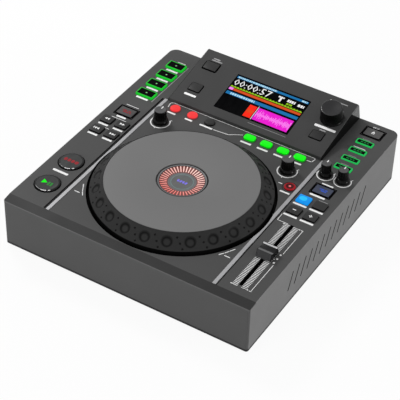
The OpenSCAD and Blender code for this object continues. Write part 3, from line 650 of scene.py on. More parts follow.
class Solid:
    """Closed shapes in millimetres, gathered into one mesh with several finishes."""

    def __init__(self, place: Matrix | None = None) -> None:
        """Starts with nothing, at a place.

        Args:
            place: Where the shapes go, from their own axes to the part's, in millimetres.
        """
        self.verts: list[Point3] = []
        self.faces: list[tuple[int, ...]] = []
        self.slots: list[int] = []
        self.finishes: list[Finish] = []
        self.place = place or Matrix.Identity(4)

    def _face(self, corners: Sequence[int], finish: Finish) -> None:
        """Adds a face in a finish.

        Args:
            corners: Numbers of its points, anticlockwise seen from outside.
            finish: Its finish.
        """
        if finish not in self.finishes:
            self.finishes.append(finish)
        self.faces.append(tuple(corners))
        self.slots.append(self.finishes.index(finish))

    def _points(self, points: Sequence[Point3]) -> int:
        """Adds points at the current place, and gives the first one's number.

        Args:
            points: Points on the shapes' own axes.

        Returns:
            Number of the first one.
        """
        first = len(self.verts)
        self.verts.extend(tuple(self.place @ Vector(p)) for p in points)
        return first

    def loft(self, rings: Sequence[Sequence[Point3]], bands: Sequence[Finish | Sequence[Finish]],
             caps: bool = True) -> None:
        """Joins rings of points, each with as many points as the last.

        Args:
            rings: Closed rings, anticlockwise seen from above, lowest first.
            bands: Finish of the band above each ring, or of each of its sides; the last one is the top's.
            caps: False where the first ring meets the last, as in a tyre.
        """
        n = len(rings[0])
        first = self._points([p for ring in rings for p in ring])
        for k in range(len(rings) - 1 if caps else len(rings)):
            a, b = first + k * n, first + ((k + 1) % len(rings)) * n
            band = bands[min(k, len(bands) - 1)]
            for i in range(n):
                j = (i + 1) % n
                finish = band if isinstance(band, Finish) else band[i]
                self._face((a + i, a + j, b + j, b + i), finish)
        if caps:
            top = first + (len(rings) - 1) * n
            self._face(range(first + n - 1, first - 1, -1), bands[0])
            self._face(range(top, top + n), bands[-1])

    def prism(self, outline: Sequence[Point2], low: float, high: float, finish: Finish) -> None:
        """Extrudes an outline from one height to another."""
        self.loft([[(x, y, z) for x, y in outline] for z in (low, high)], [finish, finish])

    def bar(self, x: float, y: float, width: float, depth: float, finish: Finish = Finish.INK,
            radius: float = 0.4, turn: float = 0.0, low: float = PRINT_LIFT, high: float = PRINT_TOP) -> None:
        """A thin bar with round corners, centred on a point and turned by degrees.

        Args:
            x: Middle along X.
            y: Middle along Y.
            width: Size along X.
            depth: Size along Y.
            finish: Finish of the bar.
            radius: Corner radius.
            turn: Turn in degrees.
            low: Height of its underside.
            high: Height of its top.
        """
        c, s = math.cos(math.radians(turn)), math.sin(math.radians(turn))
        corners = rounded(width, depth, radius, 3)
        self.prism([(x + px * c - py * s, y + px * s + py * c) for px, py in corners], low, high, finish)

    def line(self, points: Sequence[Point2], width: float, finish: Finish = Finish.INK) -> None:
        """A printed line through points, as overlapping bars.

        Args:
            points: Corners of the line.
            width: Its width.
            finish: Finish of the print.
        """
        for (x0, y0), (x1, y1) in zip(points, points[1:]):
            self.bar((x0 + x1) / 2, (y0 + y1) / 2, math.hypot(x1 - x0, y1 - y0) + width, width, finish,
                     width / 2, math.degrees(math.atan2(y1 - y0, x1 - x0)))

    def arc(self, radius: float, start: float, sweep: float, width: float,
            finish: Finish = Finish.INK) -> None:
        """A printed arc round the place's middle, from a start angle over a sweep in degrees.

        Args:
            radius: Radius of its middle.
            start: Start angle.
            sweep: Angle that it covers.
            width: Its width.
            finish: Finish of the print.
        """
        steps, half = max(3, round(abs(sweep) / 9)), width / 2
        section = ((half, PRINT_LIFT), (half, PRINT_TOP), (-half, PRINT_TOP), (-half, PRINT_LIFT))
        angles = [math.radians(start + sweep * i / steps) for i in range(steps + 1)]
        self.loft([[polar(radius + out, angle, z) for out, z in section] for angle in angles], [finish])

    def triangle(self, x: float, y: float, size: float, finish: Finish = Finish.INK,
                 turn: float = 0.0) -> None:
        """A printed triangle that points right, or is turned by degrees."""
        corners = [polar(size, math.radians(turn + angle), 0.0) for angle in (0, 120, 240)]
        self.prism([(x + px, y + py) for px, py, _ in corners], PRINT_LIFT, PRINT_TOP, finish)

    def sign(self, items: Sign) -> None:
        """Draws what a sign is made of: methods of this class, each with its values."""
        for draw, *values in items:
            draw(self, *values)

    def lathe(self, profile: Sequence[tuple[float, float, Finish]], segments: int = 64,
              radius_at: Callable[[float, float, float], float] | None = None) -> None:
        """Turns a profile round the Z axis, with flat ends.

        Args:
            profile: Radius, height and the finish of the band that starts there.
            segments: Segments round the axis.
            radius_at: Gives the radius for a radius, height and angle, for a shape that isn't round.
        """
        angles = [math.tau * i / segments for i in range(segments)]
        reach = radius_at or (lambda radius, z, angle: radius)
        rings = [[polar(reach(r, z, a), a, z) for a in angles] for r, z, _ in profile]
        self.loft(rings, [finish for _, _, finish in profile])

    def absorb(self, mesh: bpy.types.Mesh, finish: Finish, place: Matrix, scale: float = 1.0) -> None:
        """Adds a ready mesh at a place, all in one finish, and deletes the mesh.

        Args:
            mesh: Mesh to add.
            finish: Its finish.
            place: Where it goes.
            scale: Millimetres in one unit of the mesh.
        """
        kept, self.place = self.place, place
        first = self._points([tuple(v.co * scale) for v in mesh.vertices])
        self.place = kept
        for polygon in mesh.polygons:
            self._face([first + i for i in polygon.vertices], finish)
        bpy.data.meshes.remove(mesh)

    def words(self, text: str, x: float, y: float, height: float, finish: Finish = Finish.INK,
              lift: float = PRINT_LIFT) -> None:
        """Prints plain generic words, centred on a point, with capitals of that height.

        Args:
            text: What is printed.
            x: Middle along X.
            y: Middle along Y.
            height: Height of the capitals.
            finish: Finish of the print.
            lift: Height of the print's underside.
        """
        curve = bpy.data.curves.new("words", "FONT")
        curve.body = text
        curve.align_x, curve.align_y = "CENTER", "CENTER"
        curve.size, curve.resolution_u = height / CAPITAL_SHARE, 1
        half = curve.extrude = (PRINT_TOP - PRINT_LIFT) / 2
        host = placed("words", curve)
        mesh = evaluated(host)
        bpy.data.objects.remove(host)
        bpy.data.curves.remove(curve)
        weld(mesh)
        self.absorb(mesh, finish, self.place @ Matrix.Translation((x, y, lift + half)))

    def mesh(self, name: str, crease: float = 32.0) -> bpy.types.Mesh:
        """Makes the mesh in metres, smooth where faces meet at less than the crease angle.

        Args:
            name: Name of the mesh.
            crease: Angle in degrees.

        Returns:
            The mesh.
        """
        mesh = bpy.data.meshes.new(name)
        mesh.from_pydata([(x * MM, y * MM, z * MM) for x, y, z in self.verts], [], self.faces)
        for finish in self.finishes:
            mesh.materials.append(finish.material())
        mesh.polygons.foreach_set("material_index", self.slots)
        mesh.validate()
        mesh.shade_smooth()
        mesh.set_sharp_from_angle(angle=math.radians(crease))
        return mesh

    def piece(self, name: str, body: str, slot: str, replaces: str | None = None,
              crease: float = 32.0) -> None:
        """Makes the shapes a piece of the player.

        Args:
            name: Name of the piece.
            body: CAD body that it rides on.
            slot: Material slot of the record; not used.
            replaces: CAD node that it stands for.
            crease: Angle in degrees above which an edge stays sharp.
        """
        obj = placed(name, self.mesh(name, crease))
        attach(obj, body)
        if replaces:
            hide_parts(replaces)
        LOG.info("%s: %d faces on %s", name, len(obj.data.polygons), body)


def placed(name: str, data: bpy.types.ID) -> bpy.types.Object:
    """Makes an object of its data, in the scene.

    Args:
        name: Name of the object.
        data: Its mesh or curve.

    Returns:
        The object.
    """
    obj = bpy.data.objects.new(name, data)
    bpy.context.scene.collection.objects.link(obj)
    return obj


def evaluated(obj: bpy.types.Object) -> bpy.types.Mesh:
    """Mesh of an object with its modifiers applied."""
    return bpy.data.meshes.new_from_object(obj.evaluated_get(bpy.context.evaluated_depsgraph_get()))


def weld(mesh: bpy.types.Mesh) -> None:
    """Merges the doubles of a mesh and turns its faces outwards.

    Args:
        mesh: Mesh to change.
    """
    work = bmesh.new()
    work.from_mesh(mesh)
    bmesh.ops.remove_doubles(work, verts=work.verts, dist=1e-5)
    bmesh.ops.recalc_face_normals(work, faces=work.faces)
    work.to_mesh(mesh)
    work.free()


class Pattern:
    """Geometry Nodes tree that copies one small item along a line, and round a circle."""

    SOCKETS = {"Item": "Object", "Count": "Int", "Finish": "Material", "First": "Vector", "Step": "Vector",
               "Radius": "Float", "Start": "Float", "Pitch": "Float"}

    def __init__(self) -> None:
        """Builds the tree: each copy is a step along the line and a pitch round the circle from the last."""
        self.group = bpy.data.node_groups.new("pattern", "GeometryNodeTree")
        face, tree = self.group.interface, Tree(self.group)
        self.ids = {name: face.new_socket(name, in_out="INPUT", socket_type=f"NodeSocket{kind}").identifier
                    for name, kind in self.SOCKETS.items()}
        face.new_socket("Geometry", in_out="OUTPUT", socket_type="NodeSocketGeometry")
        given = {name: tree.add("NodeGroupInput", output=name) for name in self.SOCKETS}
        angle = tree.add("GeometryNodeInputIndex") * given["Pitch"] + given["Start"]
        round_it = tree.add("ShaderNodeCombineXYZ", {
            "X": angle.cosine() * given["Radius"], "Y": angle.sine() * given["Radius"]})
        line = tree.add("GeometryNodeMeshLine", {
            "Count": given["Count"], "Start Location": given["First"], "Offset": given["Step"],
        }, mode="OFFSET")
        spots = tree.add("GeometryNodeSetPosition", {"Geometry": line, "Offset": round_it})
        item = tree.add("GeometryNodeObjectInfo", {"Object": given["Item"]}, "Geometry")
        turn = tree.add("ShaderNodeCombineXYZ", {"Z": angle})
        copies = tree.add("GeometryNodeInstanceOnPoints", {
            "Points": spots, "Instance": item, "Rotation": turn})
        real = tree.add("GeometryNodeRealizeInstances", {"Geometry": copies})
        dressed = tree.add("GeometryNodeSetMaterial", {
            "Geometry": real, "Material": given["Finish"]})
        tree.add("NodeGroupOutput", {"Geometry": dressed})

    def run(self, solid: Solid, item: Solid, finish: Finish, count: int, first: Point3,
            step: Point3 = (0.0, 0.0, 0.0), radius: float = 0.0, start: float = 0.0,
            pitch: float = 0.0) -> None:
        """Runs the tree once, and adds the copies to a solid in the shared frame.

        Args:
            solid: What the copies are added to.
            item: The small shape that is copied, at the origin.
            finish: Finish of the copies.
            count: Number of copies.
            first: Start of the line, or the circle's middle.
            step: Step along the line.
            radius: Radius of the circle.
            start: Angle of the first copy, in degrees.
            pitch: Angle from one copy to the next, in degrees.
        """
        seed = placed("pattern_item", item.mesh("pattern_item"))
        host = placed("pattern_host", bpy.data.meshes.new("pattern_host"))
        modifier = host.modifiers.new("pattern", "NODES")
        modifier.node_group = self.group
        values = {"Item": seed, "Count": count, "Finish": finish.material(), "First": [c * MM for c in first],
                  "Step": [c * MM for c in step], "Radius": radius * MM, "Start": math.radians(start),
                  "Pitch": math.radians(pitch)}
        for name, value in values.items():
            modifier[self.ids[name]] = value
        solid.absorb(evaluated(host), finish, Matrix.Identity(4), 1 / MM)
        for obj in (host, seed):
            data = obj.data
            bpy.data.objects.remove(obj)
            bpy.data.meshes.remove(data)


PATTERN = Pattern()


@dataclass(frozen=True)
class Face:
    """A flat face of the player that keys, knobs and prints stand on."""

    origin: Point3
    tilt: float = 0.0

    def at(self, x: float = 0.0, y: float = 0.0, z: float = 0.0) -> Matrix:
        """Place of a point on the face, as a matrix in millimetres."""
        turned = Matrix.Translation(self.origin) @ Matrix.Rotation(self.tilt, 4, "X")
        return turned @ Matrix.Translation((x, y, z))

    def extent(self, node: str) -> tuple[Point3, Point3]:
        """Least and greatest place of a CAD node along the face's own axes, in millimetres.

        Args:
            node: Name of the node.

        Returns:
            The least and the greatest place.
        """
        back = self.at().inverted()
        points = [back @ (vertex.co / MM) for vertex in frame["nodes"][node].data.vertices]
        return tuple(tuple(pick(p[axis] for p in points) for axis in range(3)) for pick in (min, max))

    def spot(self, node: str) -> Point2:
        """Middle of a CAD node on the face, in millimetres."""
        low, high = self.extent(node)
        return ((low[0] + high[0]) / 2, (low[1] + high[1]) / 2)


CONSOLE_RUN = 88.3
CONSOLE_RISE = 19.0
DECK = Face((0.0, 0.0, 66.0))
CONSOLE = Face((0.0, 74.0, 70.0), math.atan2(CONSOLE_RISE, CONSOLE_RUN))


# ---------------------------------------------------------------- signs on the keys


BAR, LINE, ARC, TRIANGLE = Solid.bar, Solid.line, Solid.arc, Solid.triangle
INK, GREY = Finish.INK, Finish.INK_GREY


def strokes(finish: Finish, depth: float, radius: float, *spots: Point3) -> Sign:
    """Short strokes of one depth, each at an X and a Y and with a width."""
    return [(BAR, x, y, width, depth, finish, radius) for x, y, width in spots]


def skip(direction: int, stop: bool) -> Sign:
    """Two triangles, with a stop bar for the next track."""
    arrows = [(TRIANGLE, x, 0.0, 2.1, INK, 0 if direction > 0 else 180) for x in (-1.6, 1.6)]
    return arrows + ([(BAR, direction * 4.2, 0.0, 0.8, 3.4)] if stop else [])


# painted highlights: short pale arcs at the front of the round keys' rims
PAINTED_RIM_GLINTS = [(ARC, 13.6, start, sweep, 1.2, Finish.GLINT) for start, sweep in ((272, 28), (308, 11))]
PLAY = [(TRIANGLE, -4.2, 0.0, 4.2, Finish.GREEN),
        *strokes(Finish.DIM_GREEN, 6.0, 0.8, (2.2, -0.6, 2.2), (5.6, -0.6, 2.2)), *PAINTED_RIM_GLINTS]
CUE = [*strokes(Finish.DIM_RED, 5.0, 1.6, (-7.4, 0.2, 4.0), (-2.6, 0.2, 3.6), (2.2, 0.2, 3.8),
                (7.2, 0.2, 4.4)), *PAINTED_RIM_GLINTS]
MODE = strokes(Finish.DIM_RED, 1.7, 0.7, (-2.8, 1.3, 5.6), (3.4, 1.3, 3.6), (-0.4, -1.5, 7.6),
               (5.4, -1.5, 2.4))
SYNC = strokes(Finish.DIM_BLUE, 1.6, 0.7, (-1.6, 1.2, 5.4), (3.6, 1.2, 3.0), (1.4, -1.4, 7.0))
SOURCE = strokes(Finish.SOURCE_DEEP, 1.8, 0.5, (-3.6, 0.0, 3.2), (0.4, 0.0, 2.6), (3.8, 0.0, 2.0))
PAD = strokes(Finish.PAD_DOT, 1.4, 0.6, (0.0, 0.0, 2.0))
KEY_LOCK = strokes(Finish.CYAN, 7.0, 3.2, (-1.0, 0.4, 9.0))
EJECT = [(TRIANGLE, 0.0, 0.8, 2.4, INK, 90), (BAR, 0.0, -1.8, 4.2, 0.9)]
MINUS = [(BAR, 0.0, 0.0, 4.0, 1.2)]
PLUS = [*MINUS, (BAR, 0.0, 0.0, 1.2, 4.0)]
RECORD = [(Solid.lathe, [(1.4, 0.0, Finish.PINK), (1.4, 0.1, Finish.PINK)], 24)]


# ---------------------------------------------------------------- keys


@dataclass(frozen=True)
class KeyStyle:
    """Slot, shape and finishes of one style of push key; the rim is like the top where none is given."""

    slot: str
    width: float
    depth: float
    radius: float
    gap: float
    rise: float
    top: Finish = Finish.KEY
    side: Finish = Finish.KEY_SIDE_SHADE
    rim: Finish | None = None
    rim_width: float = 0.0
    bevel: float = 0.45
    dish: float = 0.0
    face: Face = DECK


class Style(Enum):
    """The key styles of the player."""

    PAD = KeyStyle("pad_green", 23.0, 13.4, 1.2, 0.35, 2.4, Finish.PAD_FACE, Finish.PAD_GLOW, Finish.PAD_GLOW,
                   0.9, 0.4, 0.15)
    FRAMED = KeyStyle("key_plastic", 20.4, 13.6, 0.8, 1.6, 0.8)
    FRAMED_BLUE = KeyStyle("key_plastic", 20.4, 13.6, 0.8, 1.6, 0.8, Finish.KEY_BLUISH)
    SMALL = KeyStyle("key_plastic", 15.0, 12.5, 1.0, 0.35, 2.0, Finish.KEY_DARK)
    SMALL_BLUE = KeyStyle("lit_blue", 15.0, 12.5, 1.0, 0.35, 2.0, Finish.BLUE, Finish.BLUE)
    ROUND = KeyStyle("key_black", 28.8, 28.8, 14.4, 1.05, 1.6, Finish.KEY_ROUND_REFLECTION, Finish.KEY_BLACK,
                     Finish.KEY_RIM, 0.9, 1.2)
    DOT_RED = KeyStyle("lit_red", 12.4, 12.4, 6.2, 0.35, 2.8, Finish.RED, Finish.RED_EDGE, bevel=1.6)
    UNLIT = KeyStyle("key_plastic", 12.4, 12.4, 6.2, 0.35, 2.8, Finish.KEY_DARK, bevel=1.6)
    LIT_GREEN = KeyStyle("lit_green", 14.0, 10.0, 3.6, 0.35, 2.8, Finish.GREEN, Finish.GREEN_EDGE, bevel=1.2)
    RECORD = KeyStyle("lit_red", 13.0, 13.0, 6.5, 0.35, 1.8, Finish.CRIMSON_DEEP, Finish.CRIMSON_DEEP,
                      Finish.CRIMSON, 1.1, 0.9)
    SOURCE = KeyStyle("source_green", 21.0, 8.6, 1.2, 0.35, 1.0, Finish.PAD_FACE, Finish.SOURCE_GLOW,
                      Finish.SOURCE_GLOW, 1.2, 0.3, 0.1)
    SQUARE = KeyStyle("key_black", 14.6, 12.0, 0.8, 1.05, 1.2, Finish.KEY_DARK, face=CONSOLE)
    WIDE = KeyStyle("key_black", 17.2, 12.4, 0.8, 1.6, 1.2, Finish.KEY_DARK, face=CONSOLE)


@dataclass
class PushKey:
    """A push key: its cap, the flange that keeps it in, its stem, and the sign on its top."""

    node: str
    style: Style
    sign: Sign = ()
    flange_low: float = -4.0
    flange_top: float = -2.8
    flange_lip: float = 1.0
    stem_radius: float = 2.0
    stem_overlap: float = 0.5
    bevel_steps: int = 3
    wide_radius: float = 5.0

    def levels(self) -> list[tuple[float, float, Finish]]:
        """Height, inset and finish of every ring of the cap, from the flange up.

        Returns:
            The rings, lowest first.
        """
        s = self.style.value
        grow = s.gap + self.flange_lip
        rings = [(self.flange_low, -grow, s.side), (self.flange_top, -grow, s.side),
                 (self.flange_top, 0.0, s.side)]
        for step in range(self.bevel_steps + 1):
            angle = math.radians(90 * step / self.bevel_steps)
            rings.append((s.rise - s.bevel * (1 - math.sin(angle)), s.bevel * (1 - math.cos(angle)),
                          s.rim or s.top))
        inner = s.bevel + s.rim_width
        if s.rim_width:
            rings.append((s.rise, inner, s.top))
        if s.dish:
            rings.append((s.rise - s.dish, inner + s.dish, s.top))
        rings[-1] = (*rings[-1][:2], s.top)
        return rings

    def build(self) -> None:
        """Makes the key in place of its CAD node."""
        s = self.style.value
        x, y = s.face.spot(self.node)
        low = s.face.extent(self.node)[0][2]
        solid = Solid(s.face.at(x, y))
        levels = self.levels()
        steps = 16 if s.radius > self.wide_radius else 5
        outlines = [rounded(s.width - 2 * inset, s.depth - 2 * inset, s.radius - inset, steps)
                    for _, inset, _ in levels]
        solid.loft([[(px, py, level[0]) for px, py in outline] for outline, level in zip(outlines, levels)],
                   [finish for _, _, finish in levels])
        stem_top = self.flange_low + self.stem_overlap
        solid.lathe([(self.stem_radius, low, s.side), (self.stem_radius, stem_top, s.side)], 20)
        solid.place = s.face.at(x, y, s.rise - s.dish)
        solid.sign(self.sign)
        solid.piece(f"{self.node}_cap", self.node, s.slot, self.node)


FOUR = (1, 2, 3, 4)
KEYS = (
    *(PushKey(f"pad_{i}", Style.PAD, PAD) for i in FOUR),
    *(PushKey(f"loop_button_{i}", Style.LIT_GREEN) for i in FOUR),
    *(PushKey(f"source_button_{i}", Style.SOURCE, SOURCE) for i in FOUR),
    PushKey("mode_button", Style.FRAMED, MODE),
    PushKey("search_back_button", Style.SMALL, skip(-1, False)),
    PushKey("search_forward_button", Style.SMALL, skip(1, False)),
    PushKey("track_back_button", Style.SMALL, skip(-1, True)),
    PushKey("track_forward_button", Style.SMALL, skip(1, True)),
    PushKey("cue_button", Style.ROUND, CUE),
    PushKey("play_button", Style.ROUND, PLAY),
    PushKey("effect_button_1", Style.DOT_RED),
    PushKey("effect_button_2", Style.DOT_RED),
    PushKey("effect_button_3", Style.UNLIT),
    PushKey("record_button", Style.RECORD, RECORD),
    PushKey("eject_button", Style.FRAMED, EJECT),
    PushKey("sync_button", Style.FRAMED_BLUE, SYNC),
    PushKey("key_lock_button", Style.SMALL_BLUE, KEY_LOCK),
    PushKey("tempo_reset_button", Style.SMALL),
    PushKey("bend_minus_button", Style.SMALL, MINUS),
    PushKey("bend_plus_button", Style.SMALL, PLUS),
    PushKey("back_button", Style.WIDE),
    PushKey("menu_button", Style.SQUARE),
    PushKey("view_button", Style.SQUARE),
)


@dataclass
class PowerKey:
    """The round power key in the rear wall, with a ring and its stroke on the face."""

    node: str = "power_button"
    radius: float = 5.0
    edge: float = 0.6
    flange: float = 1.2
    dish: float = 0.2

    def build(self) -> None:
        """Makes the key in place of its CAD node."""
        low, high = (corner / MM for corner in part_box(self.node))
        middle = ((low.x + high.x) / 2, high.y, (low.z + high.z) / 2)
        solid = Solid(Matrix.Translation(middle) @ Matrix.Rotation(math.radians(-90), 4, "X"))
        wide, depth, r = (high.x - low.x) / 2, high.y - low.y, self.radius
        profile = [(wide, -depth), (wide, self.flange - depth), (r, self.flange - depth), (r, -self.edge),
                   (r - self.edge, 0.0), (r - 1.4, 0.0), (r - 1.7, -self.dish)]
        solid.lathe([(radius, z, Finish.KEY_BLACK) for radius, z in profile], 40)
        solid.place = solid.place @ Matrix.Translation((0, 0, -self.dish))
        solid.arc(1.9, 130, 280, 0.45)
        solid.bar(0, -1.5, 0.45, 1.9)
        solid.piece("power_button_cap", self.node, "key_black", self.node)


# ---------------------------------------------------------------- knobs and fader


Profile = Sequence[tuple[float, float, Finish]]


@dataclass(frozen=True)
class Knob:
    """A knob on its spindle, with ridges cut into its grip, and with a pointer where that has a length."""

    node: str
    height: float
    foot: float
    finish: Finish
    profile: Profile
    grip: Point2
    ridges: int
    ridge_depth: float = 0.5
    sharpness: float = 0.7
    segments: int = 108
    face: Face = DECK
    pointer: float = 0.0
    pointer_y: float = 0.0
    pointer_width: float = 1.1
    spindle: float = 3.0
    spindle_depth: float = 7.5
    gap: float = 0.5
    chamfer: float = 0.6

    def radius_at(self, radius: float, z: float, angle: float) -> float:
        """Cuts the ridges into the grip, between its two heights.

        Args:
            radius: Radius of the round shape.
            z: Height.
            angle: Angle round the axis.

        Returns:
            The radius with the ridges in it.
        """
        if not self.grip[0] < z < self.grip[1]:
            return radius
        return radius - self.ridge_depth * (0.5 - 0.5 * math.cos(self.ridges * angle)) ** self.sharpness

    def build(self) -> None:
        """Makes the knob in place of its CAD node."""
        solid = Solid(self.face.at(*self.face.spot(self.node)))
        gap, chamfer = self.gap, self.chamfer
        bottom = ((self.spindle, -self.spindle_depth, Finish.STEEL), (self.spindle, gap, self.finish),
                  (self.foot - chamfer, gap, self.finish), (self.foot, gap + chamfer, self.finish))
        solid.lathe((*bottom, *self.profile), self.segments, self.radius_at)
        if self.pointer:
            solid.bar(0.0, self.pointer_y, self.pointer_width, self.pointer, INK, 0.2, 0.0,
                      self.height - 0.2, self.height + 0.22)
        solid.piece(f"{self.node}_grip", self.node, "knob_plastic", self.node, 40)


def pointer_knob(node: str, skirt: float, top: float, height: float, flutes: int = 18) -> Knob:
    """A fluted knob with a skirt, a pale top and a white pointer.

    Args:
        node: CAD node that it stands for.
        skirt: Radius of the skirt.
        top: Radius of the top.
        height: Height of the top over the deck.
        flutes: Number of flutes.

    Returns:
        The knob.
    """
    k, c, h, t = Finish.KNOB, Finish.KNOB_CAP, height, top
    profile = ((skirt, 3.5, k), (skirt - 0.4, 4.25, k), (t + 0.8, 5.5, k), (t + 0.5, 5.8, k),
               (t + 0.48, 6.5, k), (t + 0.2, h - 1.2, k), (t + 0.05, h - 0.75, k), (t - 0.2, h - 0.3, c),
               (t - 0.6, h, c), (t - 1.5, h, c), (t - 1.9, h - 0.18, c))
    length = t * 0.62
    return Knob(node, h, skirt, k, profile, (5.7, h - 0.9), flutes, pointer=length,
                pointer_y=t - 0.6 - length / 2)


def browse_knob(radius: float = 14.0, top: float = 12.8, height: float = 18.5) -> Knob:
    """The wide knurled knob on the console.

    Args:
        radius: Radius of the foot.
        top: Radius of the top.
        height: Height of the top over the console.

    Returns:
        The knob.
    """
    k, c, h, t = Finish.BROWSE, Finish.BROWSE_TOP, height, top
    profile = ((radius, 1.8, k), (t + 0.5, 2.7, k), (t + 0.45, 3.1, k), (t + 0.05, h - 1.2, k),
               (t - 0.2, h - 0.7, k), (t - 0.6, h - 0.2, Finish.BROWSE_EDGE), (t - 1.1, h, c),
               (t - 2.2, h - 0.1, c), (t - 6.0, h - 0.9, c), (1.5, h - 1.4, c))
    return Knob("browse_knob", h, radius, k, profile, (3.0, h - 1.1), 60, 0.22, 1.0, 240, CONSOLE)


KNOBS = (
    pointer_knob("effect_knob", 9.2, 7.0, 18.0),
    pointer_knob("jog_adjust_knob", 9.2, 7.0, 18.0),
    pointer_knob("start_time_knob", 7.8, 5.6, 17.5, 16),
    pointer_knob("stop_time_knob", 7.8, 5.6, 17.5, 16),
    browse_knob(),
)


@dataclass
class FaderCap:
    """The pitch fader's cap: leaning ends and a hollow top, with painted light on it: a painted highlight
    along its rear edge and on the front of the hollow, a lighter front face and shaded sides.
    """

    node: str = "fader_cap"
    width: float = 18.0
    length: float = 19.0
    height: float = 9.5
    lean: float = 3.0
    gap: float = 1.0
    hollow: float = 2.0
    hollow_radius: float = 16.0
    edge: float = 0.5
    steps: int = 12
    highlight_steps: int = 5
    lever: Point2 = (2.4, 8.0)
    lines: Point2 = (0.35, 0.62)
    line_half: float = 0.35

    def profile(self) -> list[tuple[float, float, Finish]]:
        """Side outline of the cap as Y, Z and the finish of the face that follows.

        Returns:
            The corners of the outline.
        """
        half, top = self.length / 2, self.length / 2 - self.lean
        reach = min(top - 0.2, math.sqrt(self.hollow_radius ** 2 - (self.hollow_radius - self.hollow) ** 2))
        centre = self.height + self.hollow_radius - self.hollow
        points = [(-half, self.gap, Finish.FADER_DARK), (half, self.gap, Finish.FADER_DARK),
                  (top, self.height, Finish.FADER_EDGE_HIGHLIGHT)]
        for i in range(self.steps + 1):
            y = reach * (1 - 2 * i / self.steps)
            # the front steps of the hollow get the painted ridge highlight
            finish = Finish.FADER_RIDGE_HIGHLIGHT if i > self.steps - self.highlight_steps else Finish.FADER_DARK
            z = centre - math.sqrt(self.hollow_radius ** 2 - y * y)
            points.append((y, z, finish if i else Finish.FADER_EDGE_HIGHLIGHT))
        return [*points, (-top, self.height, Finish.FADER_FRONT_LIGHT)]

    def build(self) -> None:
        """Makes the cap in place of its CAD node."""
        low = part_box(self.node)[0].z / MM - DECK.origin[2]
        solid = Solid(DECK.at(*DECK.spot(self.node)))
        profile = self.profile()
        middle = self.height * 0.45
        rings = []
        for side, shrink in ((-1, 1), (-1, 0), (1, 0), (1, 1)):
            x = side * (self.width / 2 - (0 if shrink else self.edge))
            factor = 1 - shrink * self.edge / (self.length / 2)
            rings.append([(x, y * factor, middle + (z - middle) * factor) for y, z, _ in profile])
        solid.loft(rings, [Finish.FADER_SIDE_SHADE, [finish for _, _, finish in profile], Finish.FADER_SIDE_SHADE])
        solid.prism(rounded(*self.lever, 0.3), low, self.gap + 0.5, Finish.STEEL)
        for rise in self.lines:
            y = self.length / 2 - self.lean * rise + 0.12
            z = self.gap + (self.height - self.gap) * rise
            solid.bar(0.0, y, self.width - 2.4, 0.35, INK, 0.1, 0.0, z - self.line_half, z + self.line_half)
        solid.piece("fader_cap_grip", self.node, "knob_plastic", self.node)


# ---------------------------------------------------------------- jog wheel


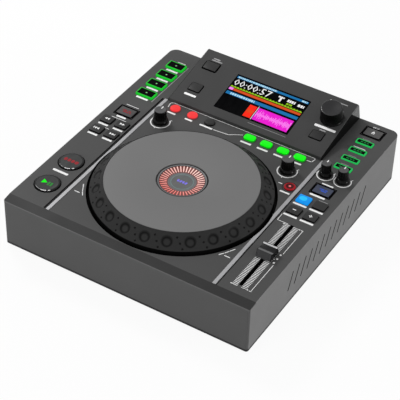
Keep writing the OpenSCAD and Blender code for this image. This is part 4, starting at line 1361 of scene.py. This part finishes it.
@dataclass
class JogWheel:
    """The turning wheel, its plate, and the fixed lit dial in its middle."""

    radius: float = 101.6
    plate: float = 86.0
    plate_z: float = 83.0
    plate_thickness: float = 2.0
    rim: float = 86.6
    edge_z: float = 69.2
    skirt_z: float = 57.0
    wall: float = 3.5
    dimple_radius: float = 6.6
    dimple_depth: float = 1.1
    web: tuple[Point2, ...] = ((17.3, 63.0), (80.0, 63.0), (81.0, 77.5), (84.6, 77.5))
    web_top: tuple[Point2, ...] = ((78.0, 66.0), (17.3, 66.0))
    nub_rows: tuple[Point2, ...] = ((90.6, -1.0), (95.2, 1.0), (99.6, 2.5))
    dial: float = 28.5
    dial_drop: float = 3.4
    lamps: int = 40
    lamp_span: Point2 = (16.8, 24.9)
    lamp_fall: float = 1.7 / 8.8
    segments: int = 720
    rows: int = 24

    def place(self, z: float = 0.0) -> Matrix:
        """Place of the wheel's middle at a height over the table."""
        return Matrix.Translation((*JOG_CENTRE, z))

    def ring(self) -> None:
        """Makes the ring with its finger dimples."""
        rise, reach = self.edge_z - self.plate_z, self.radius - self.rim
        run, pitch, inner = math.hypot(reach, rise), math.tau / DIMPLES, self.radius - self.wall
        out, up = reach / run, rise / run
        under = [*self.web, (inner, self.edge_z - 2.4), (inner, self.skirt_z),
                 (self.radius - 0.3, self.skirt_z), (self.radius, self.skirt_z + 0.3)]
        edge, floor = self.plate + 0.2, self.plate_z - self.plate_thickness
        seat = [(edge, self.plate_z), (edge, floor), (self.web_top[0][0], floor), *self.web_top]
        slope = []
        for row in range(self.rows + 1):
            down = run * (1 - row / self.rows)
            r, z = self.rim + out * down, self.plate_z + up * down
            slope.append([])
            for i in range(self.segments):
                angle = math.tau * i / self.segments
                along = ((angle / pitch) % 1.0 - 0.5) * pitch * r
                share = min(1.0, math.hypot(along, down - run / 2) / self.dimple_radius)
                sink = self.dimple_depth * (1 - share ** 3)
                slope[-1].append(polar(r + up * sink, angle, z - out * sink))
        solid = Solid(self.place())
        rings = [[circle(r, z, self.segments) for r, z in part] for part in (under, seat)]
        solid.loft([*rings[0], *slope, *rings[1]], [Finish.RING], caps=False)
        solid.piece("jog_ring_shell", "jog_wheel", "ring_plastic", "jog_ring", 35)

    def nubs(self) -> None:
        """Makes the small grip nubs between the dimples, near-black as painted shade."""
        slope = math.atan2(self.plate_z - self.edge_z, self.radius - self.rim)
        solid, item = Solid(), Solid(Matrix.Rotation(slope, 4, "Y"))
        item.lathe([(1.2, -0.3, Finish.RING), (1.2, 0.1, Finish.RING), (0.7, 0.4, Finish.RING)], 10)
        for radius, shift in self.nub_rows:
            z = self.plate_z - (radius - self.rim) * math.tan(slope)
            PATTERN.run(solid, item, Finish.NUB_SHADE, DIMPLES, (*JOG_CENTRE, z),
                        radius=radius, start=shift, pitch=360 / DIMPLES)
        solid.piece("jog_ring_nubs", "jog_wheel", "ring_plastic")

    def top_plate(self) -> None:
        """Makes the metal plate with its softened edges."""
        low, high = self.plate_z - self.plate_thickness, self.plate_z
        inner, outer = self.dial + 0.4, self.plate
        profile = [(inner, low), (outer, low), (outer, high - 0.5), (outer - 0.15, high - 0.15),
                   (outer - 0.5, high), (inner + 0.5, high), (inner + 0.15, high - 0.15), (inner, high - 0.5)]
        solid = Solid(self.place())
        solid.loft([circle(r, z, self.segments // 3) for r, z in profile], [Finish.PLATE], caps=False)
        solid.piece("jog_plate_disc", "jog_wheel", "plate_metal", "jog_plate")

    def dial_face(self) -> None:
        """Makes the fixed dial: rim, sloping lamp lens with its lamps, and the floor with its mark."""
        z, edge, d, k = self.plate_z, self.dial, Finish.DIAL, Finish.DIAL_DARK
        solid = Solid(self.place())
        solid.lathe([
            (edge - 1.5, 73.6, k), (edge, 73.6, k), (edge, z - 1.2, k), (edge - 0.5, z - 1.0, k),
            (edge - 1.4, z - 1.05, d), (25.6, z - 1.45, k), (24.9, z - 1.65, Finish.DIAL_WARM),
            (15.9, z - 3.35, d), (13.0, z - self.dial_drop, Finish.DIAL_FLOOR)], 180)
        solid.place = self.place(z - self.dial_drop)
        solid.arc(12.4, 0, 359.9, 0.9, Finish.DIAL_RING)
        for i in range(4):
            solid.bar(3.3 * i - 4.95, 0, 2.3, 3.8, Finish.DIAL_MARK, 0.6, -14 if i % 2 else 14)
        inner, outer = self.lamp_span
        middle, lean = (inner + outer) / 2, math.atan(self.lamp_fall)
        lamp = Solid(Matrix.Rotation(-lean, 4, "Y"))
        lamp.prism(rounded((outer - inner) / math.cos(lean), 1.15, 0.5, 2), 0.02, 0.12, Finish.DIAL_LAMPS)
        rise = z - self.dial_drop + (middle - 15.8) * self.lamp_fall
        PATTERN.run(solid, lamp, Finish.DIAL_LAMPS, self.lamps, (*JOG_CENTRE, rise),
                    radius=middle, pitch=360 / self.lamps)
        solid.piece("dial_face", "root", "dial_plastic", "dial_lens")

    def build(self) -> None:
        """Makes the whole wheel."""
        for make in (self.ring, self.nubs, self.top_plate, self.dial_face):
            make()


# ---------------------------------------------------------------- prints


def dial_scale(radius: float, ticks: int, sweep: float = 264.0) -> Sign:
    """Printed scale round a knob.

    Args:
        radius: Radius of its arc.
        ticks: Number of its ticks, from end to end.
        sweep: Angle that it spans, in degrees, open towards the front.

    Returns:
        The arc and the ticks outside it.
    """
    start = -90 - sweep / 2
    marks = [(ARC, radius, start, sweep, 1.4)]
    for i in range(ticks):
        angle = start + sweep * i / (ticks - 1)
        x, y, _ = polar(radius + 1.5, math.radians(angle), 0.0)
        marks.append((BAR, x, y, 2.0, 0.7, INK, 0.1, angle))
    return marks


FRAME_CORNERS = ((-12.4, -9.0), (12.4, -9.0), (12.4, 9.0), (-12.4, 9.0), (-12.4, -9.0))
FRAME = [(LINE, FRAME_CORNERS, 1.5, Finish.INK_DARK)]
DECK_SIGNS = (
    ("mode_button eject_button sync_button", FRAME),
    ("pad_1 pad_2 pad_3 pad_4", strokes(INK, 3.0, 0.8, (0.0, -9.7, 16.0))),
    ("pad_1", [(BAR, 1.4, 10.6, 11.0, 0.9)]),
    ("mode_button", [(BAR, 0.0, 12.8, 17.0, 0.7), (BAR, 0.0, -11.6, 12.6, 2.8, INK, 0.7)]),
    ("search_back_button search_forward_button track_back_button track_forward_button",
     strokes(INK, 2.8, 0.7, (0.0, -9.4, 13.0))),
    ("effect_button_1", strokes(INK, 2.6, 0.8, (0.0, -8.8, 11.0))),
    ("effect_button_2", strokes(INK, 2.6, 0.8, (0.0, -8.8, 10.0))),
    ("effect_button_3", strokes(INK, 2.6, 0.8, (0.0, -8.8, 17.0))),
    ("loop_button_1 loop_button_2 loop_button_3 loop_button_4", strokes(INK, 2.8, 0.9, (0.0, -9.4, 14.0))),
    ("record_button", [(BAR, -12.4, 0.8, 5.0, 1.2), (BAR, -0.6, -10.6, 12.0, 2.4, INK, 0.7),
                       (ARC, 8.4, 0.0, 359.9, 0.5, Finish.INK_DARK)]),
    ("source_button_1 source_button_3 source_button_4", strokes(GREY, 0.7, 0.3, (-1.0, 6.6, 10.0))),
    ("source_button_2", strokes(INK, 1.2, 0.3, (-1.0, 6.6, 15.0))),
    ("sync_button", [(BAR, -1.0, -11.4, 18.5, 2.8, INK, 0.8), (BAR, 0.0, 11.4, 14.0, 2.0, INK, 0.6)]),
    ("key_lock_button tempo_reset_button bend_minus_button bend_plus_button",
     strokes(INK, 2.8, 0.8, (0.0, -9.3, 16.5))),
    ("tempo_reset_button", strokes(GREY, 1.0, 0.4, (-0.6, 8.9, 11.0))),
    ("bend_minus_button", [(LINE, ((-8.6, -11.0), (-8.6, -22.2), (4.2, -22.2)), 0.6)]),
    ("effect_knob jog_adjust_knob", dial_scale(11.3, 3)),
    ("start_time_knob stop_time_knob", dial_scale(9.7, 2)),
    ("eject_button", [(Solid.words, "EJECT", -1.4, 10.6, 2.3)]),
)
CONSOLE_SIGNS = (
    ("back_button", [(BAR, 0.4, 13.0, 9.0, 1.8, GREY, 0.5), (BAR, 2.0, 10.2, 14.0, 1.6, GREY, 0.5)]),
    ("menu_button", strokes(INK, 3.0, 0.9, (0.0, -13.0, 16.0))),
    ("browse_knob", [(ARC, 16.6, 62.0, 82.0, 0.5, GREY), (BAR, -13.0, 25.2, 5.0, 0.8),
                     (BAR, 1.8, 25.2, 11.0, 1.6, GREY, 0.5), (BAR, 0.0, -16.8, 27.0, 3.4, INK, 0.9)]),
    ("view_button", strokes(GREY, 1.8, 0.5, (2.2, 9.2, 8.0))),
)


def printed(face: Face, signs: Sequence[tuple[str, Sign]]) -> Solid:
    """Starts the print of a face with the signs beside its controls.

    Args:
        face: The face.
        signs: Names of CAD nodes, and the sign beside each of them.

    Returns:
        The print, to which lines can still be added.
    """
    solid = Solid()
    for names, sign in signs:
        for node in names.split():
            solid.place = face.at(*face.spot(node))
            solid.sign(sign)
    solid.place = face.at()
    return solid


@dataclass
class DeckPrint:
    """Printed labels, lines and scales of the deck."""

    ticks: int = 51
    tick_pitch: float = 2.2
    tick_margin: float = 10.2
    range_lines: tuple[Point2, ...] = ((0.0, 42.6), (63.4, 110.4))
    range_ends: Point2 = (0.0, 110.4)
    range_dots: Point3 = (46.0, 53.0, 60.0)
    rail_y: float = 73.0
    left_x: float = -109.7
    front_y: float = -162.5
    corner: tuple[Point2, ...] = ((96.7, -107.5), (93.6, -113.2), (90.4, -118.6), (86.9, -123.6))

    def fader(self, solid: Solid) -> None:
        """Draws the two rows of ticks beside the fader's slot, and the line with its range dots.

        Args:
            solid: Shapes to add to.
        """
        low, high = (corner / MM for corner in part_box("fader_body"))
        x, rear = (low.x + high.x) / 2, high.y - self.tick_margin
        length, edge = self.tick_pitch * (self.ticks - 1), x + 13.6
        tick, step = Solid(), (0.0, -self.tick_pitch, 0.0)
        tick.bar(0, 0, 6.2, 0.75, INK, 0.1)
        for side in (-1, 1):
            PATTERN.run(solid, tick, INK, self.ticks, (x + side * 5.6, rear, DECK.origin[2]), step)
            for drop in (0.0, length / 2, length):
                solid.bar(x + side * 6.3, rear - drop, 8.4, 1.0, INK, 0.2)
        for start, end in self.range_lines:
            solid.line([(edge, rear - start), (edge, rear - end)], 0.6)
        for drop in self.range_ends:
            solid.bar(edge - 0.6, rear - drop, 2.6, 0.9, INK, 0.2)
        for drop in self.range_dots:
            solid.bar(edge - 1.4, rear - drop, 2.4, 2.4, INK, 1.2)

    def columns(self, solid: Solid) -> None:
        """Draws the lines and the label between the keys of the left column.

        Args:
            solid: Shapes to add to.
        """
        (x, first), (_, last) = DECK.spot("pad_1"), DECK.spot("pad_4")
        solid.line([(x + 13.4, last - 9.5), (x + 13.4, first + 6.0)], 1.0, GREY)
        solid.line([(self.left_x, self.front_y), (self.left_x, self.rail_y)], 1.7, Finish.INK_DARK)
        x = DECK.spot("mode_button")[0]
        for node, rise, width in (("search_back_button", 8.5, 20.0), ("track_back_button", 7.6, 13.0)):
            solid.bar(x, DECK.spot(node)[1] + rise, width, 0.7)
        (x, cue), (_, play) = DECK.spot("cue_button"), DECK.spot("play_button")
        solid.bar(x, (cue + play) / 2 + 1.8, 20.0, 3.2, INK, 0.9)

    def rails(self, solid: Solid) -> None:
        """Draws the lines round the row of keys behind the wheel, and those at its front corners.

        Args:
            solid: Shapes to add to.
        """
        x, y, rail = DECK.spot("loop_button_1")[0], DECK.spot("effect_button_3")[1], self.rail_y
        solid.line([(-28.6, y - 8.8), (x - 24.0, y - 7.2), (x - 18.0, y - 3.0), (x - 10.5, y + 1.2)], 0.8)
        solid.line([(-95.7, y - 0.5), (-97.0, rail - 2.4), (-94.6, rail), (94.2, rail), (95.6, rail - 1.4),
                    (94.4, y + 1.8), (88.4, y + 1.6)], 0.8)
        for side in (-1, 1):
            solid.line([(side * cx, cy) for cx, cy in self.corner], 0.9)
            solid.bar(side * 95.6, -121.7, 7.0, 1.0)

    def build(self) -> None:
        """Makes the print as one piece."""
        solid = printed(DECK, DECK_SIGNS)
        for draw in (self.columns, self.rails, self.fader):
            draw(solid)
        solid.piece("deck_print", "root", "case_plastic")


@dataclass
class ConsolePrint:
    """Printed labels of the console's tilted face, and the line under its display."""

    line: tuple[float, ...] = (26.0, 8.2, 50.0, 0.5)

    def build(self) -> None:
        """Makes the print as one piece."""
        solid = printed(CONSOLE, CONSOLE_SIGNS)
        solid.bar(*self.line, GREY)
        solid.piece("console_print", "root", "case_plastic")


# ---------------------------------------------------------------- display


Block = tuple[float, float, float, float, Finish]


@dataclass
class Display:
    """The lit picture, just over the window's glass; its shares run from 0 to 1 to the right and up."""

    middle: Point2 = (1.5, 41.0)
    width: float = 95.5
    height: float = 54.5
    low: float = 0.02
    high: float = 0.05
    layer: float = 0.04
    seed: int = 7
    steps: int = 24
    wave_middle: float = 0.195
    wave_half: Point2 = (0.025, 0.10)
    blocks: tuple[Block, ...] = (
        (0.0, 1.0, 0.925, 0.985, Finish.SCREEN_BLUE), (0.0, 1.0, 0.645, 0.665, Finish.SCREEN_LIME),
        (0.06, 1.0, 0.56, 0.625, Finish.SCREEN_ORANGE), (0.0, 0.055, 0.56, 0.63, Finish.SCREEN_LILAC),
        (0.0, 1.0, 0.425, 0.51, Finish.SCREEN_BLUE), (0.375, 0.48, 0.02, 0.37, Finish.SCREEN_RED),
        (0.505, 0.985, 0.02, 0.37, Finish.SCREEN_MAGENTA))
    texts: tuple[Block, ...] = (
        (0.015, 0.56, 0.935, 0.978, Finish.SCREEN_PALE), (0.91, 0.985, 0.935, 0.978, Finish.SCREEN_PALE),
        (0.62, 0.70, 0.83, 0.87, Finish.SCREEN_WHITE), (0.65, 0.68, 0.72, 0.83, Finish.SCREEN_WHITE),
        (0.75, 0.86, 0.79, 0.86, Finish.SCREEN_WHITE), (0.76, 0.84, 0.71, 0.76, Finish.SCREEN_LIME),
        (0.90, 0.985, 0.77, 0.84, Finish.SCREEN_WHITE), (0.06, 0.40, 0.44, 0.495, Finish.SCREEN_PALE))
    waves: tuple[tuple[int, float, float, Finish], ...] = (
        (12, 0.38, 0.475, Finish.SCREEN_ORANGE), (56, 0.51, 0.98, Finish.SCREEN_LILAC))

    def place(self, x: float, y: float) -> Point2:
        """Place of a point of the picture, given as shares of its width and height."""
        return (self.middle[0] + self.width * (x - 0.5), self.middle[1] + self.height * (y - 0.5))

    def block(self, solid: Solid, left: float, right: float, bottom: float, top: float, finish: Finish,
              layer: int = 0) -> None:
        """Draws one block on a layer of the picture.

        Args:
            solid: Shapes to add to.
            left: Left edge, as a share of the picture's width.
            right: Right edge, likewise.
            bottom: Lower edge, as a share of the picture's height.
            top: Upper edge, likewise.
            finish: Finish of the block.
            layer: Layer, 0 for the lowest.
        """
        outline = [self.place(x, y) for x, y in ((left, bottom), (right, bottom), (right, top), (left, top))]
        lift = layer * self.layer
        solid.prism(outline, self.low + lift, self.high + lift, finish)

    def dashes(self, solid: Solid, left: float, right: float, bottom: float, top: float,
               finish: Finish) -> None:
        """Draws a row of small unreadable marks, as a line of text looks from afar.

        Args:
            solid: Shapes to add to.
            left: Left edge, as a share of the picture's width.
            right: Right edge, likewise.
            bottom: Lower edge, as a share of the picture's height.
            top: Upper edge, likewise.
            finish: Finish of the marks.
        """
        dice = random.Random(self.seed + int(left * 100) + int(bottom * 1000))
        at = left
        while at < right:
            wide = dice.uniform(0.012, 0.034)
            self.block(solid, at, min(right, at + wide), bottom, top, finish, 1)
            at += wide + dice.uniform(0.004, 0.009)

    def build(self) -> None:
        """Makes the picture as one piece on the window."""
        solid = Solid(CONSOLE.at())
        for block in self.blocks:
            self.block(solid, *block)
        for text in self.texts:
            self.dashes(solid, *text)
        solid.words("00:00:57", *self.place(0.265, 0.795), 10.6, Finish.SCREEN_WHITE, lift=0.04)
        for i in range(self.steps):
            left = i / self.steps
            self.block(solid, left + 0.004, left + 0.03, 0.665, 0.685, Finish.SCREEN_LIME, 1)
        dice, middle = random.Random(self.seed), self.wave_middle
        for count, left, right, finish in self.waves:
            step = (right - left) / count
            for i in range(count):
                half = self.wave_half[0] + self.wave_half[1] * dice.random() ** 2
                start = left + i * step
                self.block(solid, start, start + 0.7 * step, middle - half, middle + half, finish, 1)
        self.block(solid, 0.49, 0.497, 0.0, 0.40, Finish.SCREEN_WHITE, 2)
        solid.piece("display_picture", "root", "display_glow", crease=5)


# ---------------------------------------------------------------- rear panel


@dataclass
class RearFittings:
    """Metal sleeves, contacts and plain labels of the rear sockets, whose places are given along X."""

    height: float = 23.8
    wall_y: float = 168.5
    data: tuple[float, ...] = (12.0, -12.0)
    host: float = 40.0
    audio: tuple[float, ...] = (-58.0, -78.0)
    power: float = 72.0
    inlet: float = 94.0
    jack: float = 4.2
    jack_reach: float = 8.0
    bore: float = 1.7
    steps: int = 36

    def place(self, x: float) -> Matrix:
        """Place of a socket's middle, with Z out of the rear wall and X to the part's left."""
        turned = Matrix.Rotation(math.pi, 4, "Z") @ Matrix.Rotation(math.radians(90), 4, "X")
        return Matrix.Translation((x, self.wall_y, self.height)) @ turned

    def sleeve(self, solid: Solid, ring: Finish) -> None:
        """Draws the coloured ring and the metal contact of one audio jack.

        Args:
            solid: Shapes to add to.
            ring: Finish of the coloured ring.
        """
        hole, reach = self.jack + 0.02, self.jack_reach
        inner, outer = self.jack + 0.1, self.jack + 1.5
        washer = [(inner, 0.3), (outer, 0.3), (outer, 1.1), (inner, 1.1)]
        shell = [(hole, 2.0), (hole + 0.2, 2.0), (hole + 0.2, reach - 0.4), (hole, reach - 0.1),
                 (self.bore + 0.4, reach - 0.1), (self.bore + 0.4, reach - 0.3), (hole, reach - 0.4)]
        for profile, finish in ((washer, ring), (shell, Finish.STEEL)):
            solid.loft([circle(r, z, self.steps) for r, z in profile], [finish], caps=False)

    def lip(self, solid: Solid, width: float, depth: float) -> None:
        """Draws the metal lip round a data socket's opening.

        Args:
            solid: Shapes to add to.
            width: Outer width of the lip.
            depth: Outer depth of the lip.
        """
        outer, inner = rounded(width, depth, 0.8), rounded(width - 0.8, depth - 0.8, 0.5)
        levels = ((outer, 0.02), (outer, 0.25), (inner, 0.25), (inner, 0.02))
        solid.loft([[(x, y, z) for x, y in ring] for ring, z in levels], [Finish.STEEL], caps=False)

    def build(self) -> None:
        """Makes the fittings as one piece."""
        solid = Solid()
        for x, ring in zip(self.audio, (Finish.JACK_RED, Finish.JACK_WHITE)):
            solid.place = self.place(x)
            self.sleeve(solid, ring)
        for x, width, depth in (*((x, 13.8, 6.6) for x in self.data), (self.host, 12.8, 11.8)):
            solid.place = self.place(x)
            self.lip(solid, width, depth)
        for x in (*self.data, self.host, *self.audio, self.power, self.inlet):
            solid.place = self.place(x)
            solid.bar(0, 11.0, 9.0, 1.5, INK, 0.5)
        solid.place = self.place(sum(self.audio) / 2)
        solid.line([(-16, 8.6), (-16, 14.4), (16, 14.4), (16, 8.6)], 0.4)
        solid.words("OUTPUT", 0, 17.0, 2.4)
        solid.place = self.place(self.power)
        solid.words("POWER", 0, -12.4, 2.4)
        solid.piece("rear_fittings", "root", "socket_plastic")


# ---------------------------------------------------------------- casing


@dataclass
class Casing:
    """The fixed solids that keep their CAD shape, beside the finish of each."""

    nodes: tuple[tuple[Finish, str], ...] = (
        (Finish.CASE, "top_case"), (Finish.PAN, "base_pan"), (Finish.RUBBER, "feet"),
        (Finish.HOOD, "console_hood"), (Finish.GLASS, "display_window"),
        (Finish.SCREEN_BLACK, "display_panel"), (Finish.STRIP, "trim_strips"),
        (Finish.BOARD, "main_board key_boards jog_boards"),
        (Finish.STEEL, "case_screws jog_bearings"), (Finish.CONTACT, "tact_switches"),
        (Finish.CAST, "jog_base"), (Finish.SOCKET, "rear_sockets"),
        (Finish.DARK_METAL, "fader_body rotary_controls"), (Finish.HUB, "jog_hub"),
    )

    def build(self) -> None:
        """Gives every kept CAD node its finish."""
        for finish, names in self.nodes:
            for node in names.split():
                mesh = frame["nodes"][node].data
                mesh.materials.clear()
                mesh.materials.append(finish.material())
                mesh.polygons.foreach_set("material_index", [0] * len(mesh.polygons))
                LOG.info("%s: CAD solid in %s", node, finish.name.lower())


# ---------------------------------------------------------------- studio


@dataclass(frozen=True)
class AreaLamp:
    """One soft lamp; sizes in metres, power in watts."""

    name: str
    place: Point3
    size: float
    power: float
    mirrored: bool = True
    aim: Point3 = (0.0, 0.0, 0.05)

    def build(self) -> None:
        """Hangs the lamp."""
        data = bpy.data.lights.new(self.name, "AREA")
        data.shape, data.size, data.energy = "DISK", self.size, self.power
        obj = placed(self.name, data)
        obj.location = self.place
        obj.rotation_euler = (Vector(self.aim) - Vector(self.place)).to_track_quat("-Z", "Y").to_euler()
        obj.visible_glossy = self.mirrored


@dataclass
class Studio:
    """Plain pale floor, soft lamps, plain world and the camera."""

    azimuth: float = 30.49
    elevation: float = 40.45
    roll: float = 1.90
    lens: float = 135.26
    sensor: float = 36.0
    distance: float = 1731.16
    target: Point3 = (-12.78, 2.84, 4.0)
    floor_size: float = 12.0
    floor_tone: Colour = 238
    floor_glow: float = 0.93
    ambient: float = 0.42
    lamps: tuple[AreaLamp, ...] = (
        AreaLamp("lamp_left", (-0.95, 0.35, 1.15), 0.4, 10.5),
        AreaLamp("lamp_right", (1.8, 0.25, 0.3), 0.6, 20.0),
        AreaLamp("lamp_front", (-0.7, -1.8, 0.5), 1.0, 18.5, False),
        AreaLamp("lamp_glint", (-0.3, -1.9, 0.9), 0.14, 2.2),
    )

    def floor(self) -> None:
        """Lays the floor: white where it is seen, and still darker in the shadow."""
        s = Shader("look_floor_white")
        base = s.add("ShaderNodeBsdfPrincipled", {
            "Base Color": linear(self.floor_tone), "Roughness": 0.9, "Specular IOR Level": 0.0})
        glow = s.add("ShaderNodeEmission", {"Color": WHITE, "Strength": 1.0})
        mixed = s.add("ShaderNodeMixShader", {0: s.seen() * self.floor_glow, 1: base, 2: glow})
        mesh, half = bpy.data.meshes.new("floor"), self.floor_size / 2
        corners = [(x * half, y * half, 0) for x, y in ((-1, -1), (1, -1), (1, 1), (-1, 1))]
        mesh.from_pydata(corners, [], [(0, 1, 2, 3)])
        mesh.materials.append(s.finished(mixed))
        placed("floor", mesh)

    def world(self) -> None:
        """Sets a plain world: white where it is seen, softer as light."""
        world = bpy.data.worlds.new("studio_world")
        bpy.context.scene.world = world
        world.use_nodes = True
        tree = Tree(world.node_tree)
        level = tree.add("ShaderNodeMapRange", {
            "Value": tree.seen(), "To Min": self.ambient, "To Max": 1.0})
        background = tree.add("ShaderNodeBackground", {"Color": WHITE, "Strength": level})
        tree.add("ShaderNodeOutputWorld", {"Surface": background})

    def camera(self) -> None:
        """Sets the camera at its angle, a little rolled."""
        az, el, roll = (math.radians(a) for a in (self.azimuth, self.elevation, self.roll))
        back = Vector((math.sin(az) * math.cos(el), -math.cos(az) * math.cos(el), math.sin(el)))
        right = Vector((math.cos(az), math.sin(az), 0.0))
        up = back.cross(right)
        across = math.cos(roll) * right + math.sin(roll) * up
        above = math.cos(roll) * up - math.sin(roll) * right
        data = bpy.data.cameras.new("camera")
        data.lens, data.sensor_width, data.clip_end = self.lens, self.sensor, 50.0
        obj = placed("camera", data)
        turn = Matrix((across, above, back)).transposed().to_4x4()
        obj.matrix_world = Matrix.Translation((Vector(self.target) + self.distance * back) * MM) @ turn
        bpy.context.scene.camera = obj

    def build(self) -> None:
        """Sets the whole studio."""
        bpy.context.scene.view_settings.view_transform = "Standard"
        self.floor()
        self.world()
        for lamp in self.lamps:
            lamp.build()
        self.camera()


def main() -> None:
    """Sets the studio, dresses the CAD solids, and makes every piece in order."""
    logging.basicConfig(level=logging.INFO, format="%(message)s")
    Studio().build()
    Casing().build()
    JogWheel().build()
    for item in (*KEYS, PowerKey(), *KNOBS, FaderCap()):
        item.build()
    DeckPrint().build()
    ConsolePrint().build()
    Display().build()
    RearFittings().build()
    bpy.data.node_groups.remove(PATTERN.group)


if __name__ == "__main__":
    main()
